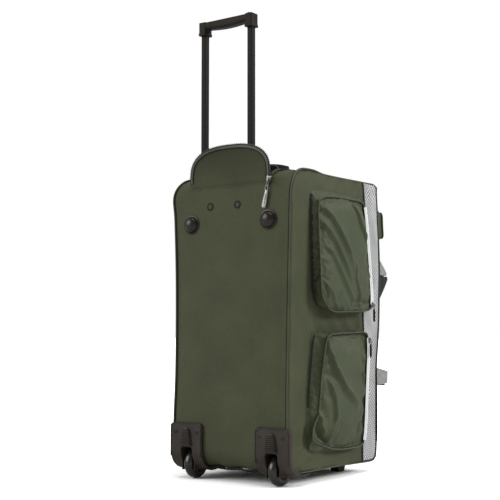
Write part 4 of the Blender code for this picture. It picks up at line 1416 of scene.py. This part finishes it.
rows = [bar_row(t) for t in evenly(0, 1, BAR_STEPS)]
points, faces = lattice(rows, closed=True)
count, last = len(rows[0]), BAR_STEPS * len(rows[0])
faces += [tuple(reversed(range(count))), tuple(range(last, last + count))]
grip_parts = [(points, faces)]
for side in (-1, 1):
    centre = Vector((handle_x + side * tube_reach, bar_y, 0))
    for bottom, top, width, depth in ((low.z, low.z + 0.0055, 0.0212, bar_depth + 0.0006),
                                      (low.z, high.z - 0.0006, 0.0196, bar_depth * 0.95)):
        outline = [(centre.x + a, centre.y + b) for a, b in rounded(width, depth, 0.0026, 4)]
        grip_parts.append(prism(outline, bottom, top, "Z"))
moulded("grip_bar", grip_parts, [], "trolley_handle", "grip_plastic", replaces=("grip",),
        voxel=0.0008, passes=4)
low, high = span_of("release_button")
middle = (low + high) / 2
dome = [(0.0002, high.z + 0.0006), (0.0030, high.z + 0.0002), (0.0050, high.z - 0.0010),
        (0.0062, high.z - 0.0030), (0.0064, high.z - 0.0060)]
piece("button_cap", lathe(dome, (middle.x, middle.y, 0), (0, 0, 1), 32), "release_button", "grip_plastic",
      closed=False, replaces=("release_button",))

# ---------------------------------------------------------------- studs, rivets, housings and wheels


def back_surface(x, z):
    """The back panel's Y at a point of it, as the shell is built."""
    side = 1 if x > 0 else -1
    return body_point(x / edge_x(side, z), ((0.0, z), (0.0, z)))[1]


for name, side in SIDES.items():
    middle = centre_of(f"glide_stud_{name}")
    seat = back_surface(middle.x, middle.z)
    top = span_of(f"glide_stud_{name}")[0].y
    height = seat - top + 0.0035
    outline = [(0.0225, -0.001), (0.0225, 0.0012), (0.0218, 0.0022), (0.0200, 0.0026), (0.0190, 0.0022),
               (0.0184, 0.0030)]
    for a in range(8, 91, 7):
        turn = math.radians(a)
        outline.append((0.0184 * math.cos(turn) ** 0.9, 0.0030 + (height - 0.0030) * math.sin(turn)))
    outline.append((0.00005, height))
    piece(f"stud_dome_{name}", lathe(outline, (middle.x, seat, middle.z), REARWARD, 64), "shell",
          "gloss_plastic", closed=False, angle=30, replaces=(f"glide_stud_{name}",))
    middle = centre_of(f"snap_rivet_{name}")
    seat = back_surface(middle.x, middle.z) - 0.0002
    outline = [(0.0092, -0.0006), (0.0090, 0.0009), (0.0078, 0.0016), (0.0064, 0.0015), (0.0056, 0.0007),
               (0.0050, 0.0004)]
    piece(f"rivet_ring_{name}", lathe(outline, (middle.x, seat, middle.z), REARWARD, 40), "shell", "binding",
          closed=False)
    cap = [(0.0054, 0.0004), (0.0040, 0.0011), (0.0022, 0.0014), (0.00005, 0.0015)]
    piece(f"rivet_cap_{name}", lathe(cap, (middle.x, seat, middle.z), REARWARD, 40), "shell", "fabric",
          closed=False, replaces=(f"snap_rivet_{name}",))

HOUSING_X = (0.0735, 0.1655)
HOUSING_TOP = 0.128
HOUSING_PROUD = 0.0078
SLOT_X = (0.1015, 0.1335)
SLOT_TOP = 0.0730
SLOT_DEPTH = 0.0705
WALL = 0.003


def housing_plate():
    """The plate's outline in Y and Z: up the back and round under the corner."""
    centre = (LOW_RADIUS, BOTTOM_Z + LOW_RADIUS)
    lip = SLOT_DEPTH + 0.006
    outer = [(-0.0006, HOUSING_TOP), (-HOUSING_PROUD + 0.0020, HOUSING_TOP),
             (-HOUSING_PROUD, HOUSING_TOP - 0.0035)]
    outer += arc(centre, LOW_RADIUS + HOUSING_PROUD, 180, 270, 14)
    outer += [(LOW_RADIUS + 0.012, BOTTOM_Z - HOUSING_PROUD + 0.0012), (lip, BOTTOM_Z - 0.0034),
              (lip, BOTTOM_Z - 0.0004)]
    return outer + arc(centre, LOW_RADIUS + 0.0004, 270, 180, 14)


def housing_cheek():
    """The narrow flange that wraps round onto the bag's side, as an outline in Y and Z."""
    centre = (LOW_RADIUS, BOTTOM_Z + LOW_RADIUS)
    outer = [(-HOUSING_PROUD + 0.0005, HOUSING_TOP)]
    outer += arc(centre, LOW_RADIUS + HOUSING_PROUD - 0.0005, 180, 270, 14)
    inner = arc(centre, LOW_RADIUS - 0.0060, 270, 180, 14)
    return outer + inner + [(0.0060, HOUSING_TOP)]


def corner_cut(x, z, radius, side):
    """What is trimmed off an upper corner of the plate to round it."""
    far = 0.004
    centre = (x + side * radius, z - radius)
    outline = [(x - side * far, z + far), (centre[0], z + far)]
    start, stop = (90, 180) if side > 0 else (90, 0)
    outline += arc(centre, radius, start, stop, 8)
    outline += [(x - side * far, z - radius)]
    return prism(outline, -0.03, 0.03, "Y")


for name, side in SIDES.items():
    plate = prism(housing_plate(), *HOUSING_X, "X")
    box = block((SLOT_X[0] - WALL, 0.0, 0.0200), (SLOT_X[1] + WALL, SLOT_DEPTH + WALL, SLOT_TOP + WALL))
    slot_outline = [(SLOT_X[0], -0.02), (SLOT_X[1], -0.02)]
    slot_outline += arc((SLOT_X[1] - 0.006, SLOT_TOP - 0.006), 0.006, 0, 90, 5)
    slot_outline += arc((SLOT_X[0] + 0.006, SLOT_TOP - 0.006), 0.006, 90, 180, 5)
    slot = prism(slot_outline, -0.03, SLOT_DEPTH, "Y")
    cuts = [corner_cut(HOUSING_X[0], HOUSING_TOP, 0.010, 1), corner_cut(HOUSING_X[1], HOUSING_TOP, 0.010, -1),
            slot]
    cheek = prism(housing_cheek(), 0.1590, HOUSING_X[1] - 0.0004, "X")
    moulded(f"housing_shell_{name}", [handed(part, side) for part in (plate, box, cheek)],
            [handed(cut, side) for cut in cuts], "shell", "moulded_plastic",
            replaces=(f"wheel_housing_{name}",), voxel=0.0012, passes=5)
    face = -HOUSING_PROUD
    pad_x = (SLOT_X[0] + SLOT_X[1]) / 2
    pad_outline = [(pad_x - 0.0164, 0.0760), (pad_x + 0.0164, 0.0760), (pad_x + 0.0116, 0.1060)]
    pad_outline += arc((pad_x, 0.1060), 0.0116, 0, 180, 10)[1:]
    meshes = [prism(pad_outline, face - 0.0030, face + 0.001, "Y")]
    for z in [0.0790 + 0.0042 * i for i in range(9)]:
        half = mix(0.0146, 0.0106, (z - 0.0790) / 0.0300)
        if z > 0.110:
            half *= 0.82
        path = [(pad_x + x, face - 0.0040, z) for x in evenly(-half, half, 4)]
        meshes.append(sweep(path, REARWARD, rounded(0.0024, 0.0040, 0.0009, 2)))
    piece(f"housing_pad_{name}", handed(joined(*meshes), side), "shell", "moulded_plastic",
          bevel=0.0004)
    rim_points = [(HOUSING_X[0] + 0.0030, 0.052), (HOUSING_X[0] + 0.0030, 0.114)]
    rim_points += arc((HOUSING_X[0] + 0.0130, 0.1150), 0.0100, 180, 90, 5)[1:]
    rim_points += arc((HOUSING_X[1] - 0.0130, 0.1150), 0.0100, 90, 0, 5)
    rim_points += [(HOUSING_X[1] - 0.0030, 0.052)]
    rim_line = even([(x, face - 0.0002, z) for x, z in rim_points], 0.004)
    swept(f"housing_bead_{name}", rim_line, REARWARD, circle(0.0012, 6), "shell", "moulded_plastic",
          side=side, angle=40)
    for label, x, z in (("inner", 0.0860, 0.1080), ("outer", 0.1480, 0.1075)):
        spot = (side * x, face, z)
        head = [(0.0046, -0.0002), (0.0046, 0.0006), (0.0040, 0.0012), (0.0030, 0.0013), (0.0028, 0.0006),
                (0.0001, 0.0004)]
        screw = lathe(head, spot, REARWARD, 24)
        bars = [block((spot[0] - a, face - 0.0011, z - b), (spot[0] + a, face - 0.0003, z + b))
                for a, b in ((0.0024, 0.0004), (0.0004, 0.0024))]
        piece(f"housing_screw_{label}_{name}", joined(screw, *bars), "shell", "moulded_plastic",
              closed=False)

for name, side in SIDES.items():
    centre = Vector((side * WHEEL.x, WHEEL.y, WHEEL.z))
    tread = [(0.0216, -0.0112), (0.0240, -0.0118), (0.0275, -0.0116), (0.0312, -0.0100), (0.0336, -0.0072),
             (0.0347, -0.0036), (0.0350, 0.0)]
    tread += [(r, -h) for r, h in tread[-2::-1]]
    piece(f"wheel_tyre_{name}", lathe(tread + [tread[0]], centre, (1, 0, 0), 72), f"wheel_{name}", "tyre",
          angle=50, replaces=(f"tyre_{name}",))
    disc = [(0.0041, -0.0100), (0.0080, -0.0100), (0.0088, -0.0060), (0.0175, -0.0060), (0.0190, -0.0104),
            (0.0217, -0.0108)]
    disc += [(r, -h) for r, h in disc[::-1]]
    meshes = [lathe(disc + [disc[0]], centre, (1, 0, 0), 64)]
    for k in range(5):
        turn = math.tau * k / 5
        outward = Vector((0, math.cos(turn), math.sin(turn)))
        for end in (-1, 1):
            path = [centre + outward * r + Vector((end * 0.0074, 0, 0)) for r in (0.0084, 0.0130, 0.0182)]
            meshes.append(sweep(path, Vector((end, 0, 0)), rounded(0.0036, 0.0030, 0.0008, 2)))
    piece(f"wheel_disc_{name}", joined(*meshes), f"wheel_{name}", "hub_plastic", angle=35,
          replaces=(f"wheel_hub_{name}",))

# ---------------------------------------------------------------- top grab handle

low, high = span_of("top_grab_handle")
reach = (high.x - low.x) / 2
path, normals = [], []
for i in range(41):
    turn = math.pi * i / 40
    x = -math.cos(turn) * (reach - 0.002)
    z = low.z - 0.004 + 0.029 * math.sin(turn) ** 0.6
    path.append((x, (low.y + high.y) / 2, z))
    normals.append(Vector((-math.cos(turn), 0, 0.25 + math.sin(turn))))
swept("grab_strap", path, normals, strap(0.0270, 0.0026), "shell", "black_webbing",
      replaces=("top_grab_handle",))
swept("grab_wrap", path[9:32], normals[9:32], rounded(0.0330, 0.0140, 0.0055, 4), "shell", "black_webbing",
      angle=50)
for name, side in SIDES.items():
    x = side * (reach + 0.006)
    y = (low.y + high.y) / 2
    z = lift(y, TOP_Z) + top_crown(x, y) + 0.0024
    top = [(x + side * 0.014 * k / 3 - side * 0.012, y, z) for k in range(4)]
    swept(f"grab_anchor_{name}", top, (0, 0, 1), strap(0.0300, 0.0030), "shell", "black_webbing")

# ---------------------------------------------------------------- front: doors, main zip, pockets, handles

DOOR_Z = (0.0705, 0.6548)
DOOR_X = (0.0042, 0.1548)
CARRY_HEIGHTS = {"upper": 0.4700, "lower": 0.2200}
# Each part of a tab: its finish and X, its root's height and width, and its tip's (Y, Z) and width.
TABS = {
    "upper": {"tab": ("webbing", 0.1498, 0.5020, 0.0520, (0.4570, 0.4790), 0.0090),
              "fold": ("black_webbing", 0.1512, 0.4400, 0.0640, (0.4590, 0.4700), 0.0090)},
    "lower": {"tab": ("webbing", 0.1502, 0.2265, 0.0460, (0.4580, 0.2225), 0.0300)},
}


def door_y(x, z):
    """The front's two halves swell a little between their seams."""
    across = math.sin(math.pi * clamp((x - DOOR_X[0]) / (DOOR_X[1] - DOOR_X[0])))
    tall = math.sin(math.pi * clamp((z - DOOR_Z[0]) / (DOOR_Z[1] - DOOR_Z[0]))) ** 0.5
    wave = 0.0016 * waves(x, 0, z * 0.6, 0.05, 7.0) + 0.0006 * waves(x, 0, z, 0.018, 2.0)
    return front_y(z) + across * tall * (0.0022 + wave) - 0.0001


def door_line(side, x, proud):
    """A line down a door, on its swell."""
    return [(side * x, door_y(x, z) + proud, z) for z in evenly(*DOOR_Z, 80)]


def edge_line(side, x, proud):
    """A line down the front edge's own curve, without the doors' swell."""
    return [(side * x, front_y(z) + proud, z) for z in evenly(*DOOR_Z, 80)]


for name, side in SIDES.items():
    panel = f"front_panel_{name}"
    rows = [[(side * x, door_y(x, z), z) for x in evenly(*DOOR_X, 28)] for z in evenly(*DOOR_Z, 100)]
    door = piece(f"front_cover_{name}", lattice(rows), panel, "fabric", closed=False, angle=0)
    turned_out_towards(door, FORWARD)
    thickened(door, SHEET, lined=True)
    door.data.materials.append(MATERIALS["lining"])
    freeze(door)
    door.data.shade_smooth()
    door.data.set_sharp_from_angle(angle=math.radians(50))
    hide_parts(f"front_panel_{name}")
    swept(f"main_tape_{name}", door_line(side, 0.0062, 0.0005), FORWARD, strap(0.0115, 0.0014), panel,
          "dark_tape")
    swept(f"main_fold_{name}", door_line(side, 0.0135, 0.0008), FORWARD, rounded(0.0065, 0.0022, 0.0009),
          panel, "fabric")
    piece(f"main_stitches_{name}", stitches(door_line(side, 0.0195, 0.0004), FORWARD), panel, "thread")
    shift = 0.0013 if side > 0 else 0.0
    meshes = []
    for point in even(edge_line(side, 0.0009, 0.0004), 0.0026):
        low = point + Vector((0, 0.0, shift)) + Vector((min(0, side * 0.0022), 0, -0.0006))
        meshes.append(block(low, low + Vector((0.0022, 0.0018, 0.0012))))
    piece(f"main_teeth_{name}", joined(*meshes), panel, "black_plastic", smooth=False)
    pocket_pieces("front_pocket_cover", name, side, shapes["front"], FRONT_CELLS, FRONT_STEPS, panel,
                  f"front_pocket_{name}", (0, 1, 0))
    line = [(side * x, 0.4352, 0.6365) for x in evenly(0.040, 0.142, 30)]
    leaning = (0, 0.8, 0.6)
    swept(f"front_pocket_tape_{name}", [Vector(p) - Vector((0, 0.0015, 0)) for p in line], leaning,
          strap(0.0080, 0.0012), panel, "dark_tape")
    piece(f"front_pocket_teeth_{name}", zip_teeth(line, leaning, reach=0.0017), panel, "black_plastic",
          smooth=False)
    swept(f"door_seam_{name}", edge_line(side, 0.1562, 0.0002), FORWARD, strap(0.0060, 0.0014), "shell",
          "binding")
    for label, parts in TABS.items():
        for part, (finish, x, start, root_width, end, tip_width) in parts.items():
            root, tip = Vector((side * x, front_y(start) - 0.001, start)), Vector((side * x, *end))
            points = [root.lerp(tip, t) + Vector((side * 0.0012 * math.sin(math.pi * t), 0, 0))
                      for t in evenly(0, 1, 8)]
            swept(f"handle_{part}_{label}_{name}", points, (1, 0, 0),
                  lambda i, t: strap(mix(root_width, tip_width, t), 0.0028), panel, finish)
        z = CARRY_HEIGHTS[label]
        patch = [(side * x, door_y(x, z) + 0.0012, z) for x in evenly(0.112, 0.149, 6)]
        swept(f"handle_patch_{label}_{name}", patch, FORWARD, strap(0.0380, 0.0026), panel, "webbing")

CARRY_Y = 0.4460
CARRY_X = (0.0545, 0.1492)
CARRY_RADIUS = 0.051
for name, side in SIDES.items():
    radius = CARRY_RADIUS
    top, low_end = CARRY_HEIGHTS["upper"], CARRY_HEIGHTS["lower"]
    points = [(CARRY_X[1], top)]
    quarter = [math.pi / 2 * i / 12 for i in range(13)]
    points += [(CARRY_X[0] + radius - radius * math.sin(a), top - radius + radius * math.cos(a))
               for a in quarter]
    points += [(CARRY_X[0] + radius - radius * math.cos(a), low_end + radius - radius * math.sin(a))
               for a in quarter]
    points += [(CARRY_X[1], low_end)]
    loop = even([(side * x, CARRY_Y, z) for x, z in points], 0.005)
    swept(f"carry_strap_{name}", loop, FORWARD, strap(0.0370, 0.0028), f"carry_handle_{name}", "webbing",
          replaces=(f"carry_handle_{name}",))
    wrap = loop[int(len(loop) * 0.36):int(len(loop) * 0.64)]
    swept(f"carry_wrap_{name}", wrap, FORWARD, rounded(0.0400, 0.0085, 0.0038, 4), f"carry_handle_{name}",
          "black_webbing", angle=50)

middle = centre_of("main_zip_slider")
piece("main_slider_body", slider_mesh(middle, (0, 0, 1), FORWARD, 0.0180, 0.0100, 0.0050), "main_zip_slider",
      "nickel", bevel=0.0003, replaces=("main_zip_slider",))
low, high = span_of("main_zip_pull")
x, y = (low.x + high.x) / 2, (low.y + high.y) / 2
widths = (0.5, 0.8, 1.0, 1.0, 1.0, 0.9, 0.6)
tab_path = [(x, y, z) for z in evenly(high.z, low.z, 6)]
swept("main_pull_tab", tab_path, FORWARD, lambda i, t: rounded(0.0080 * widths[i], 0.0018, 0.0007, 2),
      "main_zip_pull", "nickel", angle=50, replaces=("main_zip_pull",))

# ---------------------------------------------------------------- carried-over CAD nodes

CARRIED = {
    "tube_metal": ["outer_tube_left", "outer_tube_right"],
    "black_plastic": ["top_bracket", "bottom_bracket"],
    "moulded_plastic": ["skid_foot_left", "skid_foot_right"],
    "board": ["trolley_board"],
    "steel": ["axle_left", "axle_right", "latch_pin_left", "latch_pin_right"],
}
for finish, nodes in CARRIED.items():
    for node in nodes:
        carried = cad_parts[node]
        for slot in carried.material_slots:
            slot.material = MATERIALS[finish]

# ---------------------------------------------------------------- camera, light and floor

LENS, SENSOR = 75.6, 36.0
CAMERA_SPOT = (1.4202, -1.8889, 0.3368)
CAMERA_TILT, CAMERA_TURN = 4.42, 35.82
BOUNCED_SKY = 0.36  # the sky's strength for everything but the camera, which sees it at 1.0
BOUNCED_FLOOR, SEEN_FLOOR = 0.7, 1.6  # the floor's grey before clipping, for bounced light and for the camera
FLOOR_HALF = 40

camera_data = bpy.data.cameras.new("camera")
camera_data.lens, camera_data.sensor_width = LENS, SENSOR
camera = bpy.data.objects.new("camera", camera_data)
camera.location = Vector(CAMERA_SPOT) + Vector((0, BACK_Y, 0))
camera.rotation_euler = (math.pi / 2 + math.radians(CAMERA_TILT), 0.0, math.radians(CAMERA_TURN))
bpy.context.scene.collection.objects.link(camera)
bpy.context.scene.camera = camera
bpy.context.scene.view_settings.view_transform = "Standard"

world = bpy.data.worlds.new("studio")
world.use_nodes = True
sky = world.node_tree.nodes["Background"]
sky.inputs["Color"].default_value = (1.0, 1.0, 1.0, 1.0)
path = world.node_tree.nodes.new("ShaderNodeLightPath")
strength = world.node_tree.nodes.new("ShaderNodeMath")
strength.operation = "MULTIPLY_ADD"
strength.inputs[1].default_value, strength.inputs[2].default_value = 1.0 - BOUNCED_SKY, BOUNCED_SKY
world.node_tree.links.new(path.outputs["Is Camera Ray"], strength.inputs[0])
world.node_tree.links.new(strength.outputs[0], sky.inputs["Strength"])
bpy.context.scene.world = world


def soft_sun(name, towards, power, spread):
    """A lamp that shines from this direction, as even over the floor as daylight through a big window."""
    data = bpy.data.lights.new(name, "SUN")
    data.energy, data.angle = power, math.radians(spread)
    lamp = bpy.data.objects.new(name, data)
    lamp.rotation_euler = (-Vector(towards)).to_track_quat("-Z", "Y").to_euler()
    bpy.context.scene.collection.objects.link(lamp)


soft_sun("key", (0.64, 0.40, 0.38), 2.1, 20)
soft_sun("fill", (-0.60, -0.70, 0.40), 1.5, 35)
soft_sun("top", (0.15, 0.05, 1.0), 1.3, 60)

floor_mesh = bpy.data.meshes.new("floor")
floor_mesh.from_pydata([(x * FLOOR_HALF, y * FLOOR_HALF, 0) for x, y in ((-1, -1), (1, -1), (1, 1), (-1, 1))],
                       [], [(0, 1, 2, 3)])
floor = bpy.data.objects.new("floor", floor_mesh)
floor_finish = Finish("floor_white", (245, 245, 245), 0.9)
seen = floor_finish.node("ShaderNodeLightPath").outputs["Is Camera Ray"]
seen = floor_finish.node("ShaderNodeMath", {0: seen, 1: SEEN_FLOOR - BOUNCED_FLOOR, 2: BOUNCED_FLOOR},
                         operation="MULTIPLY_ADD").outputs[0]
matte = floor_finish.node("ShaderNodeBsdfDiffuse", {"Color": floor_finish.grey(seen)})
floor_finish.tree.links.new(matte.outputs[0], floor_finish.tree.nodes["Material Output"].inputs["Surface"])
floor_mesh.materials.append(floor_finish.material)
bpy.context.scene.collection.objects.link(floor)
